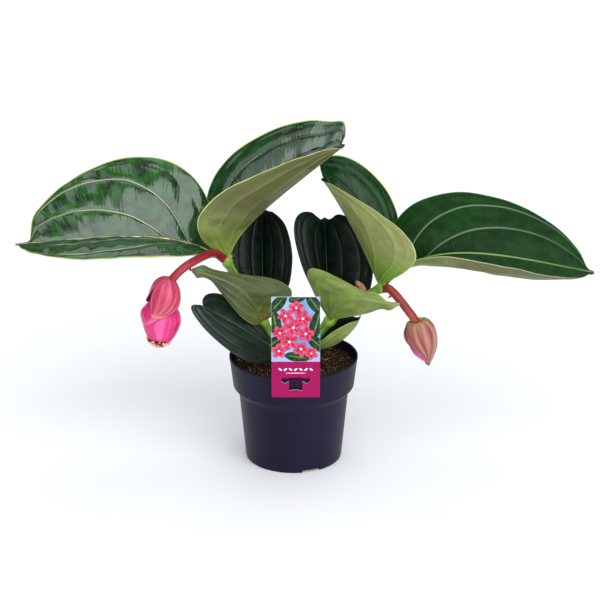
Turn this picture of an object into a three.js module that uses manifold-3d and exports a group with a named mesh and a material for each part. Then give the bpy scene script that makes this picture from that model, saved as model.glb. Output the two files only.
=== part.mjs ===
// A flowering medinilla in its plastic nursery pot.
// Two square stems rise from the potting soil. Each carries opposite pairs of
// broad leaves, every pair turned a quarter from the one below, and a reddish
// flower stalk hangs from each top pair: an opening bloom and a closed bud.
// A printed plant tag is hooked over the pot rim.
// Millimetres, +Z up, origin on the pot's axis at the surface that it stands on.
import * as THREE from "three";
import { mergeVertices } from "three/addons/utils/BufferGeometryUtils.js";
import Module from "manifold-3d";

const wasm = await Module();
wasm.setup();

// Driving dimensions.
const gap = 0.3; // between pieces that touch
const pot = {
  height: 118,
  rimRadius: 70,
  bandRadius: 66,
  bandFoot: 85,
  neckRadius: 59.8,
  neckHeight: 77,
  baseRadius: 52.7,
  wall: 1.7,
  floor: 2.4,
  channelWidth: 21,
  channelHeight: 5.5,
  channels: 3,
  channelTurn: -68,
  drainRadius: 4,
  drainReach: 34,
};
const soilTop = 107.5;
const soilRelief = 1.6;
const stemRadius = 4.4;
const nodeRadius = 6.2;
const stalkRadius = 3.8;
const bladeThickness = 1.0;
const tag = {
  left: -23,
  right: 28,
  bottom: 98,
  top: 211,
  thickness: 0.8,
  corner: 1.5,
  slotCentre: 2.5,
  slotTop: 120.2,
  wingWidth: 30,
  wingHeight: 6.5,
  tongueWidth: 14,
  tongueLength: 14.5,
};

// Stems: the line from inside the soil to the top pair, and the leaf joints on it.
const stems = {
  stem_left: {
    line: [
      [-15, 0, 62],
      [-15, 0, 108],
      [-20, 0, 130],
      [-33, 0, 157],
      [-56, 0, 198],
      [-71, 0, 225],
    ],
    joints: [
      [-18, 0, 123],
      [-33, 0, 157],
      [-71, 0, 226],
    ],
  },
  stem_right: {
    line: [
      [12, 0, 62],
      [13, 0, 108],
      [20, 0, 127],
      [39, 0, 157],
      [72, 0, 182],
      [96, 0, 196],
    ],
    joints: [
      [19, 0, 125],
      [39, 0, 157],
      [96, 0, 196],
    ],
  },
};

// Leaves: the midrib and both margins are cubic curves from the base to the tip.
// Each entry holds the two inner control points. Left and right are as seen from
// the base with the upper side up. Arch lifts each half to the upper side, and
// fullness widens a half around one place on the midrib.
const leaves = {
  leaf_left_long: {
    base: [-78, -3, 228],
    tip: [-288, -37, 257],
    mid: [[-125, -8, 269], [-202, -28, 260]],
    left: [[-75, -50, 262], [-248, -165, 266]],
    right: [[-86, 75, 397], [-273, 45, 310]],
    arch: [0.08, 0.05],
    drip: 2,
    fullness: { halves: [0, 0.3], at: 0.94, reach: 0.05 },
  },
  leaf_left_top: {
    base: [-69, 2, 227],
    tip: [54, 45, 341],
    mid: [[-62, 5, 264], [-4, 30, 296]],
    left: [[-173, 95, 308], [57, 70, 412]],
    right: [[-158, -80, 304], [-34, -55, 346]],
    arch: [0.08, -0.08],
    drip: 2,
  },
  leaf_right_top: {
    base: [92, 2, 198],
    tip: [28, 60, 299],
    mid: [[74, 10, 240], [53, 40, 274]],
    left: [[154, -105, 265], [132, -60, 284]],
    right: [[171, 60, 283], [20, 95, 362]],
    arch: [-0.08, 0.08],
    drip: 2,
  },
  leaf_right_long: {
    base: [101, 0, 199],
    tip: [313, -30, 224],
    mid: [[139, -5, 260], [234, -22, 237]],
    left: [[75, 60, 335], [282, 50, 298]],
    right: [[130, -50, 276], [272, -120, 221]],
    arch: [0.08, -0.2],
    drip: 4,
  },
  leaf_back_left: {
    base: [-33, 4, 158],
    tip: [-34, 60, 259],
    mid: [[-33, 25, 183], [-35, 50, 227]],
    left: [[-82, 12, 188], [-76, 20, 274]],
    right: [[16, 12, 188], [5, 20, 274]],
    arch: [0.08, 0.08],
    drip: 1,
  },
  leaf_back_right: {
    base: [39, 4, 158],
    tip: [34, 60, 254],
    mid: [[37, 25, 183], [35, 50, 227]],
    left: [[12, 12, 188], [-29, 20, 306]],
    right: [[122, 12, 162], [79, 20, 299]],
    arch: [0.08, 0.08],
    drip: 1,
  },
  leaf_front_left: {
    base: [-34, -4, 157],
    tip: [-106, -55, 235],
    mid: [[-51, -30, 204], [-50, -70, 224]],
    left: [[55, 10, 204], [-61, -20, 220]],
    right: [[-55, -38, 152], [-79, -30, 226]],
    arch: [-0.05, -0.05],
    drip: 2,
  },
  leaf_low_left: {
    base: [-18, -1, 123],
    tip: [-95, -42, 190],
    mid: [[-45, -15, 149], [-73, -34, 172]],
    left: [[-33, -62, 90], [-145, -58, 215]],
    right: [[-23, 4, 173], [-106, -2, 210]],
    arch: [0.08, 0.08],
    drip: 1,
  },
  leaf_front_right: {
    base: [40, -4, 158],
    tip: [110, -50, 195],
    mid: [[44, -30, 209], [71, -60, 212]],
    left: [[55, 0, 164], [87, -15, 167]],
    right: [[-16, 0, 249], [27, -10, 222]],
    arch: [-0.05, -0.05],
    drip: 2,
    fullness: { halves: [0, -0.75], at: 0.92, reach: 0.14 },
  },
  leaf_low_right: {
    base: [19, -1, 125],
    tip: [73, 12, 159],
    mid: [[45, 0, 123], [64, 8, 138]],
    left: [[27, 30, 149], [56, 30, 156]],
    right: [[34, -18, 144], [55, -10, 160]],
    arch: [-0.05, -0.05],
    drip: 1,
  },
};
const leafRows = 9;
const leafColumns = [0, 0.19, 0.38, 0.54, 0.7, 0.86, 1]; // side veins at 0.38 and 0.7
const veinPositions = [0, 0.38, 0.7, 1];
const puff = 0.7; // how far the blade swells between two veins
const plainHalves = { halves: [0, 0], at: 0.5, reach: 1 };
const petioleHalf = 2.6;
const tipHalf = 1.6;
const openReach = 12; // half width below which a folded blade opens out flat

// Flower stalks, from the top leaf joint to inside the bloom or bud.
const stalks = {
  stalk_left: [
    [-75, 0, 229],
    [-83, -14, 239],
    [-91, -34, 244],
    [-99, -50, 245],
    [-107, -62, 244],
    [-115, -69, 240],
    [-122, -73, 234],
    [-127, -74, 227],
    [-130, -74, 219],
  ],
  stalk_right: [
    [98, -1, 195],
    [105, -12, 199],
    [115, -20, 190],
    [123, -25, 179],
    [130, -27, 168],
    [134, -27, 155],
  ],
};
const bloomTop = [-130, -74, 234];
const bloomLean = 8;
const budTop = [132, -27, 167];
const budLean = -13;

function degrees(angle) {
  return THREE.MathUtils.degToRad(angle);
}

function vector([x, y, z]) {
  return new THREE.Vector3(x, y, z);
}

// A closed geometry as a solid that can be joined and cut.
function solid(geometry) {
  geometry.deleteAttribute("normal");
  geometry.deleteAttribute("uv");
  const merged = mergeVertices(geometry, 1e-4);
  return new wasm.Manifold(
    new wasm.Mesh({
      numProp: 3,
      vertProperties: new Float32Array(merged.attributes.position.array),
      triVerts: new Uint32Array(merged.index.array),
    }),
  );
}

function geometryOf(body) {
  const { vertProperties, triVerts } = body.getMesh();
  const geometry = new THREE.BufferGeometry();
  geometry.setAttribute("position", new THREE.BufferAttribute(vertProperties, 3));
  geometry.setIndex(new THREE.BufferAttribute(triVerts, 1));
  const flat = geometry.toNonIndexed();
  flat.computeVertexNormals();
  return flat;
}

function join(bodies) {
  return bodies.reduce((all, body) => all.add(body));
}

// A sheet of rows and columns of points, thickened to both sides of its surface.
// Both faces are split into triangles alike. Fixed normals stand for those that
// can't be told from the neighbouring points, at a pointed end.
function sheet(rows, thickness, fixed = {}) {
  const height = rows.length;
  const width = rows[0].length;
  const normals = rows.map((row, i) =>
    row.map((point, j) => {
      if (fixed[i]) {
        return fixed[i][j];
      }
      const ahead = rows[Math.min(i + 1, height - 1)][j];
      const behind = rows[Math.max(i - 1, 0)][j];
      const rightward = row[Math.min(j + 1, width - 1)];
      const leftward = row[Math.max(j - 1, 0)];
      const along = ahead.clone().sub(behind);
      const across = rightward.clone().sub(leftward);
      return along.cross(across).normalize();
    }),
  );
  const positions = [];
  for (const side of [0.5, -0.5]) {
    rows.forEach((row, i) =>
      row.forEach((point, j) => {
        const half = side * thickness(i / (height - 1), j / (width - 1));
        positions.push(...point.clone().addScaledVector(normals[i][j], half).toArray());
      }),
    );
  }
  const under = height * width;
  const at = (i, j) => i * width + j;
  const faces = [];
  for (let i = 0; i < height - 1; i += 1) {
    for (let j = 0; j < width - 1; j += 1) {
      const quad = [at(i, j), at(i + 1, j), at(i + 1, j + 1), at(i, j + 1)];
      faces.push([quad[0], quad[1], quad[2]], [quad[0], quad[2], quad[3]]);
      const [a, b, c, d] = quad.map((index) => index + under);
      faces.push([a, c, b], [a, d, c]);
    }
  }
  const rim = [];
  for (let i = 0; i < height - 1; i += 1) {
    rim.push(at(i, 0));
  }
  for (let j = 0; j < width - 1; j += 1) {
    rim.push(at(height - 1, j));
  }
  for (let i = height - 1; i > 0; i -= 1) {
    rim.push(at(i, width - 1));
  }
  for (let j = width - 1; j > 0; j -= 1) {
    rim.push(at(0, j));
  }
  rim.forEach((from, k) => {
    const to = rim[(k + 1) % rim.length];
    faces.push([to, from, from + under], [to, from + under, to + under]);
  });
  const geometry = new THREE.BufferGeometry();
  geometry.setAttribute("position", new THREE.Float32BufferAttribute(positions, 3));
  geometry.setIndex(faces.flat());
  return geometry;
}

function railCurve(leaf, inner) {
  return new THREE.CubicBezierCurve3(
    vector(leaf.base),
    vector(inner[0]),
    vector(inner[1]),
    vector(leaf.tip),
  );
}

// How far the blade stands up between the two veins on either side of v.
function swell(v) {
  const above = veinPositions.findIndex((position) => position > v - 1e-9);
  if (above <= 0) {
    return 0;
  }
  const from = veinPositions[above - 1];
  const to = veinPositions[above];
  return Math.sin((Math.PI * (v - from)) / (to - from));
}

function leafGeometry(leaf) {
  const midrib = railCurve(leaf, leaf.mid);
  const margins = [railCurve(leaf, leaf.left), railCurve(leaf, leaf.right)];
  const columns = [
    ...leafColumns.slice(1).reverse().map((v) => [0, v]),
    ...leafColumns.map((v) => [1, v]),
  ];
  const rows = [];
  const ends = {};
  for (let i = 0; i <= leafRows; i += 1) {
    const u = i / leafRows;
    const centre = midrib.getPoint(u);
    const along = midrib.getTangent(Math.min(Math.max(u, 0.001), 0.999));
    const least = THREE.MathUtils.lerp(petioleHalf, tipHalf, u);
    const near = THREE.MathUtils.clamp(u, 0.004, 0.996);
    const { halves: wider, at, reach: spread } = leaf.fullness ?? plainHalves;
    const share = Math.exp(-(((u - at) / spread) ** 2));
    const halves = margins.map((margin, side) =>
      margin.getPoint(near).sub(midrib.getPoint(near)).multiplyScalar(1 + wider[side] * share),
    );
    // Where the blade narrows to its tip, the two halves lie flat.
    const [leftward, rightward] = halves.map((half) =>
      half.clone().addScaledVector(along, -half.dot(along)).normalize(),
    );
    const flat = leftward.sub(rightward).normalize();
    const chords = halves.map((half, side) => {
      const length = half.length();
      const opening = u > 0.5 ? Math.exp(-((length / openReach) ** 2)) : 0;
      return half
        .multiplyScalar((1 - opening) / length)
        .addScaledVector(flat, side === 0 ? opening : -opening)
        .setLength(Math.hypot(length, least));
    });
    const ups = chords.map((chord, side) =>
      along.clone().cross(chord).setLength(side === 0 ? 1 : -1),
    );
    if (i === 0 || i === leafRows) {
      const middle = ups[0].clone().add(ups[1]).normalize();
      ends[i] = columns.map(([side, v]) => (v > 0 ? ups[side] : middle).clone().negate());
    }
    rows.push(
      columns.map(([side, v]) => {
        const chord = chords[side];
        const up = ups[side].clone();
        const reach = chord.length();
        const arch = leaf.arch[side] * reach * Math.sin(Math.PI * v);
        const relief = puff * swell(v) * Math.min(1, reach / 30);
        return centre
          .clone()
          .addScaledVector(chord, v)
          .addScaledVector(up, arch * Math.sqrt(Math.sin(Math.PI * u)) + relief);
      }),
    );
  }
  const end = midrib.getPoint(1);
  const heading = midrib.getTangent(0.999);
  const last = rows[rows.length - 1];
  ends[leafRows + 1] = ends[leafRows];
  rows.push(
    last.map((point) =>
      point.clone().sub(end).multiplyScalar(0.35).add(end).addScaledVector(heading, leaf.drip),
    ),
  );
  // The blade is thickest on the midrib and at its fleshy base.
  const thickness = (u, v) => {
    const rib = Math.max(0, 1 - Math.abs(v - 0.5) / 0.1);
    return bladeThickness + 2.4 * rib * (1 - u) ** 2 + 0.5 * rib * (1 - u);
  };
  return sheet(rows, thickness, ends);
}

// A square stem section with raised corners, swept along its line.
function stemSolid({ line, joints }, grown) {
  const shape = new THREE.Shape();
  for (let k = 0; k < 8; k += 1) {
    const angle = (k / 8) * 2 * Math.PI;
    const radius = stemRadius + grown + (k % 2 ? -0.3 : 0.6);
    shape[k ? "lineTo" : "moveTo"](radius * Math.cos(angle), radius * Math.sin(angle));
  }
  shape.closePath();
  const path = new THREE.CatmullRomCurve3(line.map(vector));
  const shaft = new THREE.ExtrudeGeometry(shape, { steps: 12, extrudePath: path });
  const swellings = joints.map((centre) => {
    const ball = new THREE.SphereGeometry(nodeRadius + grown, 8, 6);
    return solid(ball.translate(...centre));
  });
  return join([solid(shaft), ...swellings]);
}

function stalkSolid(line, grown, frame = new THREE.Matrix4()) {
  const shape = new THREE.Shape();
  for (let k = 0; k < 8; k += 1) {
    const angle = (k / 8) * 2 * Math.PI;
    const radius = stalkRadius + grown + (k % 2 ? 0.15 : -0.15);
    shape[k ? "lineTo" : "moveTo"](radius * Math.cos(angle), radius * Math.sin(angle));
  }
  shape.closePath();
  const path = new THREE.CatmullRomCurve3(line.map(vector));
  const tube = new THREE.ExtrudeGeometry(shape, { steps: 14, extrudePath: path });
  return solid(tube.applyMatrix4(frame));
}

// A turned solid from [radius, height] pairs that start and end on the axis.
function turned(profile, segments) {
  const points = profile.map(([radius, height]) => new THREE.Vector2(radius, height));
  const body = new THREE.LatheGeometry(points, segments);
  return body.rotateX(Math.PI / 2);
}

// The channels across the pot's underside, each open at the side wall.
function channels(extraWidth, extraHeight) {
  const boxes = [];
  for (let k = 0; k < pot.channels; k += 1) {
    const height = pot.channelHeight + extraHeight + 2;
    const box = new THREE.BoxGeometry(50, pot.channelWidth + extraWidth, height);
    box.translate(13 + 25 + extraWidth * -0.5, 0, height / 2 - 2);
    box.rotateZ(degrees(pot.channelTurn + (360 / pot.channels) * k));
    boxes.push(solid(box));
  }
  return join(boxes);
}

function potSolid() {
  const outer = [
    [0, 0],
    [pot.baseRadius - 2, 0],
    [pot.baseRadius - 0.4, 0.6],
    [pot.baseRadius, 2],
    [pot.neckRadius, pot.neckHeight],
    [pot.bandRadius, pot.bandFoot],
    [pot.rimRadius - 0.3, pot.height - 3],
    [pot.rimRadius, pot.height - 2.4],
    [pot.rimRadius, pot.height - 0.4],
    [pot.rimRadius - 0.4, pot.height],
    [0, pot.height],
  ];
  const inner = [
    [0, pot.floor],
    [pot.baseRadius - pot.wall, pot.floor],
    [pot.neckRadius - pot.wall, pot.neckHeight + 1],
    [pot.bandRadius - pot.wall, pot.bandFoot + 1],
    [pot.rimRadius - 0.3 - pot.wall, pot.height - 3],
    [pot.rimRadius - 0.2 - pot.wall, pot.height + 1],
    [0, pot.height + 1],
  ];
  const cavity = solid(turned(inner, 40)).subtract(channels(2 * pot.wall, pot.wall));
  let body = solid(turned(outer, 40)).subtract(cavity).subtract(channels(0, 0));
  for (let k = 0; k < pot.channels; k += 1) {
    const drain = new THREE.CylinderGeometry(pot.drainRadius, pot.drainRadius, 30, 16);
    drain.rotateX(Math.PI / 2);
    drain.translate(pot.drainReach, 0, 0);
    drain.rotateZ(degrees(pot.channelTurn + (360 / pot.channels) * k));
    body = body.subtract(solid(drain));
  }
  return body;
}

function soilSolid() {
  const clear = pot.wall + gap;
  const profile = [
    [0, pot.floor + gap],
    [pot.baseRadius - clear, pot.floor + gap],
    [pot.neckRadius - clear, pot.neckHeight + 1.3],
    [pot.bandRadius - clear, pot.bandFoot + 1.3],
    [pot.bandRadius + 2.6 - clear, soilTop - 1],
    [60, soilTop],
    [50, soilTop],
    [40, soilTop],
    [30, soilTop],
    [20, soilTop],
    [10, soilTop],
    [0, soilTop],
  ];
  const body = turned(profile, 28);
  const position = body.attributes.position;
  for (let k = 0; k < position.count; k += 1) {
    const [x, y, z] = [position.getX(k), position.getY(k), position.getZ(k)];
    const radius = Math.hypot(x, y);
    if (z > soilTop - 0.5 && radius > 1) {
      const lumps = Math.sin(0.23 * x + 1.1) * Math.cos(0.19 * y - 0.4);
      const crumbs = Math.sin(0.61 * x - 0.8 * y) * 0.5;
      position.setZ(k, z + soilRelief * (lumps + crumbs) - 0.012 * radius);
    }
  }
  let soil = solid(body).subtract(channels(2 * pot.wall + 2 * gap, pot.wall + gap));
  for (const stem of Object.values(stems)) {
    soil = soil.subtract(stemSolid(stem, gap));
  }
  return soil;
}

// The tag: a thin plate with a T-shaped tongue cut free and bent back over the rim.
function tagSolid() {
  const { left, right, bottom, top, corner, slotCentre, slotTop } = tag;
  const plate = new THREE.Shape();
  plate.moveTo(left + corner, bottom);
  plate.lineTo(right - corner, bottom);
  plate.lineTo(right, bottom + corner);
  plate.lineTo(right, top - corner);
  plate.lineTo(right - corner, top);
  plate.lineTo(left + corner, top);
  plate.lineTo(left, top - corner);
  plate.lineTo(left, bottom + corner);
  plate.closePath();
  const wing = tag.wingWidth / 2;
  const tongue = tag.tongueWidth / 2;
  const slot = new THREE.Path();
  slot.moveTo(slotCentre - wing, slotTop);
  slot.lineTo(slotCentre + wing, slotTop);
  slot.lineTo(slotCentre + wing, slotTop - tag.wingHeight * 0.6);
  slot.lineTo(slotCentre + wing - 3, slotTop - tag.wingHeight);
  slot.lineTo(slotCentre + tongue, slotTop - tag.wingHeight * 0.6);
  slot.lineTo(slotCentre + tongue, slotTop - tag.tongueLength);
  slot.lineTo(slotCentre, slotTop - tag.tongueLength + 1);
  slot.lineTo(slotCentre - tongue, slotTop - tag.tongueLength);
  slot.lineTo(slotCentre - tongue, slotTop - tag.wingHeight * 0.6);
  slot.lineTo(slotCentre - wing + 3, slotTop - tag.wingHeight);
  slot.lineTo(slotCentre - wing, slotTop - tag.wingHeight * 0.6);
  slot.closePath();
  plate.holes.push(slot);
  const board = new THREE.ExtrudeGeometry(plate, {
    depth: tag.thickness,
    bevelEnabled: false,
  });
  board.rotateX(Math.PI / 2);
  const back = -pot.rimRadius - gap;
  board.translate(0, back, 0);
  // Side view of the bent tongue: distance from the plate, height.
  const bend = [
    [-0.4, slotTop + 0.9],
    [0.5, pot.height + 1.8],
    [2.1, pot.height + 1.1],
    [3.4, pot.height + 0.8],
    [4.3, pot.height - 1],
    [4.4, pot.height - 4],
    [4.4, pot.height - 8],
  ];
  const strips = [
    [bend.slice(0, 4), tag.wingWidth],
    [bend, tag.tongueWidth],
  ].map(([line, width]) => {
    const strip = new THREE.Shape();
    const half = tag.thickness / 2;
    const sides = line.map(([y, z], k) => {
      const before = line[Math.max(k - 1, 0)];
      const after = line[Math.min(k + 1, line.length - 1)];
      const length = Math.hypot(after[0] - before[0], after[1] - before[1]);
      const normal = [(after[1] - before[1]) / length, (before[0] - after[0]) / length];
      return [
        [y + half * normal[0], z + half * normal[1]],
        [y - half * normal[0], z - half * normal[1]],
      ];
    });
    const outline = [...sides.map(([a]) => a), ...sides.map(([, b]) => b).reverse()];
    outline.forEach(([y, z], k) => strip[k ? "lineTo" : "moveTo"](y, z));
    strip.closePath();
    const bar = new THREE.ExtrudeGeometry(strip, { depth: width, bevelEnabled: false });
    // The drawing plane's first axis becomes Y and its second one Z.
    const turn = new THREE.Matrix4().makeBasis(
      new THREE.Vector3(0, 1, 0),
      new THREE.Vector3(0, 0, 1),
      new THREE.Vector3(1, 0, 0),
    );
    bar.applyMatrix4(turn);
    bar.translate(slotCentre - width / 2, back, 0);
    return solid(bar);
  });
  return join([solid(board), ...strips]);
}

// A bract: a patch of a turned form round the hanging axis, which runs along -Z.
// The profile lists [distance down the axis, radius]. The middle line drifts from
// azimuth[0] at the base to azimuth[1] at the tip. Each side is [degrees from the
// middle line to the margin, power and root of its closing, share of the closing].
function bract({ azimuth, sides, profile, ridges, lift }) {
  const outline = new THREE.SplineCurve(profile.map(([s, r]) => new THREE.Vector2(s, r)));
  const rows = [];
  const steps = 7;
  const columns = 8;
  for (let i = 0; i <= steps; i += 1) {
    const u = i / steps;
    const [down, radius] = outline.getPoint(u).toArray();
    const middle = THREE.MathUtils.lerp(azimuth[0], azimuth[1], u ** 3);
    const reaches = sides.map(
      ([spread, power, root, share]) => 2.5 + spread * Math.max(1 - (share * u) ** power, 0) ** root,
    );
    const row = [];
    for (let j = 0; j <= columns; j += 1) {
      const v = (2 * j) / columns - 1;
      const angle = degrees(middle + v * reaches[v < 0 ? 0 : 1]);
      const fold = ridges * Math.cos(v * 2 * Math.PI) * Math.sin(Math.PI * u) ** 0.7;
      const reach = radius + fold + lift * v * v * u;
      row.push(new THREE.Vector3(reach * Math.cos(angle), reach * Math.sin(angle), -down));
    }
    rows.push(row);
  }
  return solid(sheet(rows, () => 0.9));
}

// The small cap that holds a pair of bracts together round the stalk.
function bractCap() {
  const profile = [
    [0, -5],
    [5.6, -5],
    [7.2, -3.4],
    [5, -0.8],
    [2, 0.3],
    [0, 0.4],
  ];
  return solid(turned(profile, 12));
}

function bloomOuter(entry) {
  const upper = [[1, 4.6], [2.6, 7.6], [6, 10.8], [12, 14], [20, 16.4]];
  const side = [84, 4, 0.75, 1];
  const narrow = [66, 4, 0.75, 1];
  const drawn = [84, 3, 0.8, 1];
  const pointed = [...upper, [28, 17.8], [34, 19.6], [39, 22.8]];
  const blunt = [...upper, [26, 18], [31, 19.8]];
  const shared = { ridges: 0.6, lift: -0.3 };
  const body = join([
    bractCap(),
    bract({ ...shared, sides: [narrow, drawn], profile: pointed, azimuth: [-54, -100] }),
    bract({ ...shared, sides: [side, side], profile: blunt, azimuth: [120, 108] }),
  ]);
  return body.subtract(entry);
}

function bloomInner(entry) {
  const lobe = [80, 4, 0.6, 0.99];
  const cup = [84, 7, 0.5, 0.96];
  const lobes = { sides: [lobe, lobe], ridges: 0.2, lift: -1.2 };
  const cups = {
    sides: [cup, cup],
    profile: [[22, 1.8], [26, 7], [32, 12.8], [39, 17.4], [46, 19.3], [54, 18.4], [60, 16.6], [66, 14.5]],
    ridges: 0.2,
    lift: 0,
  };
  const large = [[17, 1.8], [20, 6.8], [25, 12], [30, 15.2], [35, 18.6], [40, 21.6], [45, 22], [51, 19.8]];
  const small = [[17, 1.8], [20, 5.6], [25, 9.6], [31, 12.6], [38, 15], [44, 15.4], [50, 14]];
  const shaft = new THREE.CylinderGeometry(2.6, 2.6, 43, 8);
  shaft.rotateX(Math.PI / 2).translate(0, 0, -16.4 - 21.5);
  const body = join([
    solid(shaft),
    bract({ ...lobes, profile: large, azimuth: [-172, -166] }),
    bract({ ...lobes, profile: small, azimuth: [8, 14] }),
    bract({ ...cups, azimuth: [-82, -82] }),
    bract({ ...cups, azimuth: [98, 98] }),
  ]);
  return body.subtract(entry);
}

// Flower buds packed on a dome below the bracts' mouth.
function bloomBeads() {
  const dome = new THREE.SphereGeometry(1, 10, 6);
  dome.scale(9.5, 9.5, 7.5).translate(0, 0, -67.5);
  const parts = [solid(dome)];
  const count = 24;
  for (let k = 0; k < count; k += 1) {
    const height = -0.02 - (0.96 * (k + 0.5)) / count;
    const across = Math.sqrt(1 - height * height);
    const angle = k * 2.39996;
    const bead = new THREE.IcosahedronGeometry(2.6 + 0.3 * Math.sin(3 * k), 0);
    bead.translate(
      10.6 * across * Math.cos(angle),
      10.6 * across * Math.sin(angle),
      -68 + 8.6 * height,
    );
    parts.push(solid(bead));
  }
  return join(parts);
}

function budOuter(entry) {
  const profile = [
    [0.8, 4.6],
    [-0.2, 8],
    [1.4, 11.6],
    [9, 15.6],
    [20, 16.4],
    [31, 14.2],
    [41, 9],
    [47.5, 4.6],
    [51.5, 2.2],
  ];
  const shared = { profile, ridges: 0.8, lift: 0.3 };
  const closed = [80, 7, 0.6, 1];
  const open = [100, 3, 1.6, 1];
  const drawn = [70, 3, 1, 1];
  const body = join([
    bractCap(),
    bract({ ...shared, sides: [open, closed], azimuth: [-62, -75] }),
    bract({ ...shared, sides: [closed, drawn], azimuth: [120, 105] }),
  ]);
  return body.subtract(entry);
}

// The closed inner bracts of the bud, folded into lengthwise ridges.
function budInner() {
  const profile = [
    [0, -49],
    [2.2, -46.5],
    [7, -41],
    [11.7, -31],
    [13.9, -20],
    [13.2, -14.4],
    [0, -14.2],
  ];
  const body = turned(profile, 24);
  const position = body.attributes.position;
  for (let k = 0; k < position.count; k += 1) {
    const angle = Math.atan2(position.getY(k), position.getX(k));
    const fold = 1 + 0.035 * Math.cos(6 * angle);
    position.setXY(k, position.getX(k) * fold, position.getY(k) * fold);
  }
  return solid(body);
}

// A young flower stalk, still a bud, on the right stem below the top pair.
function sproutSolid() {
  const profile = [[0, 0], [3, 0.4], [4.4, 5], [4, 10], [2, 14.5], [0, 16]];
  const body = turned(profile, 12);
  body.rotateY(degrees(-35));
  body.translate(76, 0, 190);
  return solid(body);
}

const looks = {
  pot: new THREE.MeshStandardMaterial({ color: "#2c2b3c", roughness: 0.5 }),
  soil: new THREE.MeshStandardMaterial({ color: "#33231a", roughness: 0.95 }),
  stem: new THREE.MeshStandardMaterial({ color: "#5c8a2c", roughness: 0.5 }),
  leaf: new THREE.MeshStandardMaterial({ color: "#1f5a22", roughness: 0.32 }),
  stalk: new THREE.MeshStandardMaterial({ color: "#b8343c", roughness: 0.5 }),
  bract: new THREE.MeshStandardMaterial({ color: "#e0586c", roughness: 0.5 }),
  petal: new THREE.MeshStandardMaterial({ color: "#e8448c", roughness: 0.45 }),
  bead: new THREE.MeshStandardMaterial({ color: "#e8b8a4", roughness: 0.5 }),
  bud: new THREE.MeshStandardMaterial({ color: "#b87468", roughness: 0.55 }),
  card: new THREE.MeshStandardMaterial({ color: "#c01f78", roughness: 0.4 }),
};

const plant = new THREE.Group();

function place(parent, name, geometry, look) {
  const mesh = new THREE.Mesh(geometry, look);
  mesh.name = name;
  parent.add(mesh);
  return mesh;
}

place(plant, "pot", geometryOf(potSolid()), looks.pot);
place(plant, "soil", geometryOf(soilSolid()), looks.soil);
place(plant, "tag", geometryOf(tagSolid()), looks.card);

const grownStems = [];
for (const [name, stem] of Object.entries(stems)) {
  place(plant, name, geometryOf(stemSolid(stem, 0)), looks.stem);
  grownStems.push(stemSolid(stem, gap));
}
const aroundStems = join(grownStems);

const aroundStalks = [];
for (const [name, line] of Object.entries(stalks)) {
  const body = stalkSolid(line, 0).subtract(aroundStems);
  aroundStalks.push(stalkSolid(line, gap));
  place(plant, name, geometryOf(body), looks.stalk);
}

const cutters = join([aroundStems, ...aroundStalks]);
for (const [name, leaf] of Object.entries(leaves)) {
  const body = solid(leafGeometry(leaf)).subtract(cutters);
  place(plant, name, geometryOf(body), looks.leaf);
}

// A group hanging from the end of a flower stalk, and that stalk as seen from it.
function hanging(top, lean, line) {
  const group = new THREE.Group();
  group.position.set(...top);
  group.rotation.y = degrees(lean);
  group.updateMatrixWorld();
  plant.add(group);
  const inverse = group.matrixWorld.clone().invert();
  return [group, stalkSolid(line, gap, inverse)];
}

const [bloom, bloomEntry] = hanging(bloomTop, bloomLean, stalks.stalk_left);
place(bloom, "bloom_outer_bracts", geometryOf(bloomOuter(bloomEntry)), looks.bract);
place(bloom, "bloom_inner_bracts", geometryOf(bloomInner(bloomEntry)), looks.petal);
place(bloom, "bloom_flower_buds", geometryOf(bloomBeads()), looks.bead);

const [bud, budEntry] = hanging(budTop, budLean, stalks.stalk_right);
place(bud, "bud_outer_bracts", geometryOf(budOuter(budEntry)), looks.bud);
place(bud, "bud_inner_bracts", geometryOf(budInner()), looks.petal);

place(plant, "sprout", geometryOf(sproutSolid().subtract(cutters)), looks.bud);

export default plant;
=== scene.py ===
import math
import random

import bmesh
import bpy
from mathutils import Matrix, Vector, noise


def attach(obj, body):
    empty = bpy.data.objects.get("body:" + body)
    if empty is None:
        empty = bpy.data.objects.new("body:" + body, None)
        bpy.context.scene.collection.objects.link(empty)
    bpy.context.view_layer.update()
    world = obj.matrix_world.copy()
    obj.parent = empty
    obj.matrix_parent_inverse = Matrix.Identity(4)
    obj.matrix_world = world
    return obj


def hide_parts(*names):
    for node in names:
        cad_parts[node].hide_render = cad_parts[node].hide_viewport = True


# A flowering medinilla in its nursery pot. Sizes are written in millimetres.
mm = 0.001
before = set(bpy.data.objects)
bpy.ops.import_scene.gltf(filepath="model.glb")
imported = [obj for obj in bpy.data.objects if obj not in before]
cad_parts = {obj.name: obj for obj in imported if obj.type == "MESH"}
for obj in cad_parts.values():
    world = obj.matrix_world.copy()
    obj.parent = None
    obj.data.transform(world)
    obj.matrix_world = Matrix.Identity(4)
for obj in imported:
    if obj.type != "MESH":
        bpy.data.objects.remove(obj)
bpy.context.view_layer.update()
print("frame loaded:", len(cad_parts), "solids")


def mix(low, high, share):
    return low + (high - low) * share


def ease(start, end, value):
    share = min(max((value - start) / (end - start), 0), 1)
    return share * share * (3 - 2 * share)


def hump(distance, width):
    return math.exp(-((distance / width) ** 2))


def around(angle, reach, height=0):
    return Vector((reach * math.cos(angle), reach * math.sin(angle), height))


def turned(degrees, axis, size=4):
    return Matrix.Rotation(math.radians(degrees), size, axis)


def placed(spot, upward):
    # moves a mesh to the spot with its Z axis pointing upward
    return Matrix.Translation(spot) @ upward.to_track_quat("Z", "Y").to_matrix().to_4x4()


def colour(code):
    # the linear colour for a shader socket
    parts = [int(code[k:k + 2], 16) / 255 for k in (0, 2, 4)]
    return [p / 12.92 if p < 0.04 else ((p + 0.055) / 1.055) ** 2.4 for p in parts] + [1]


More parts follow.
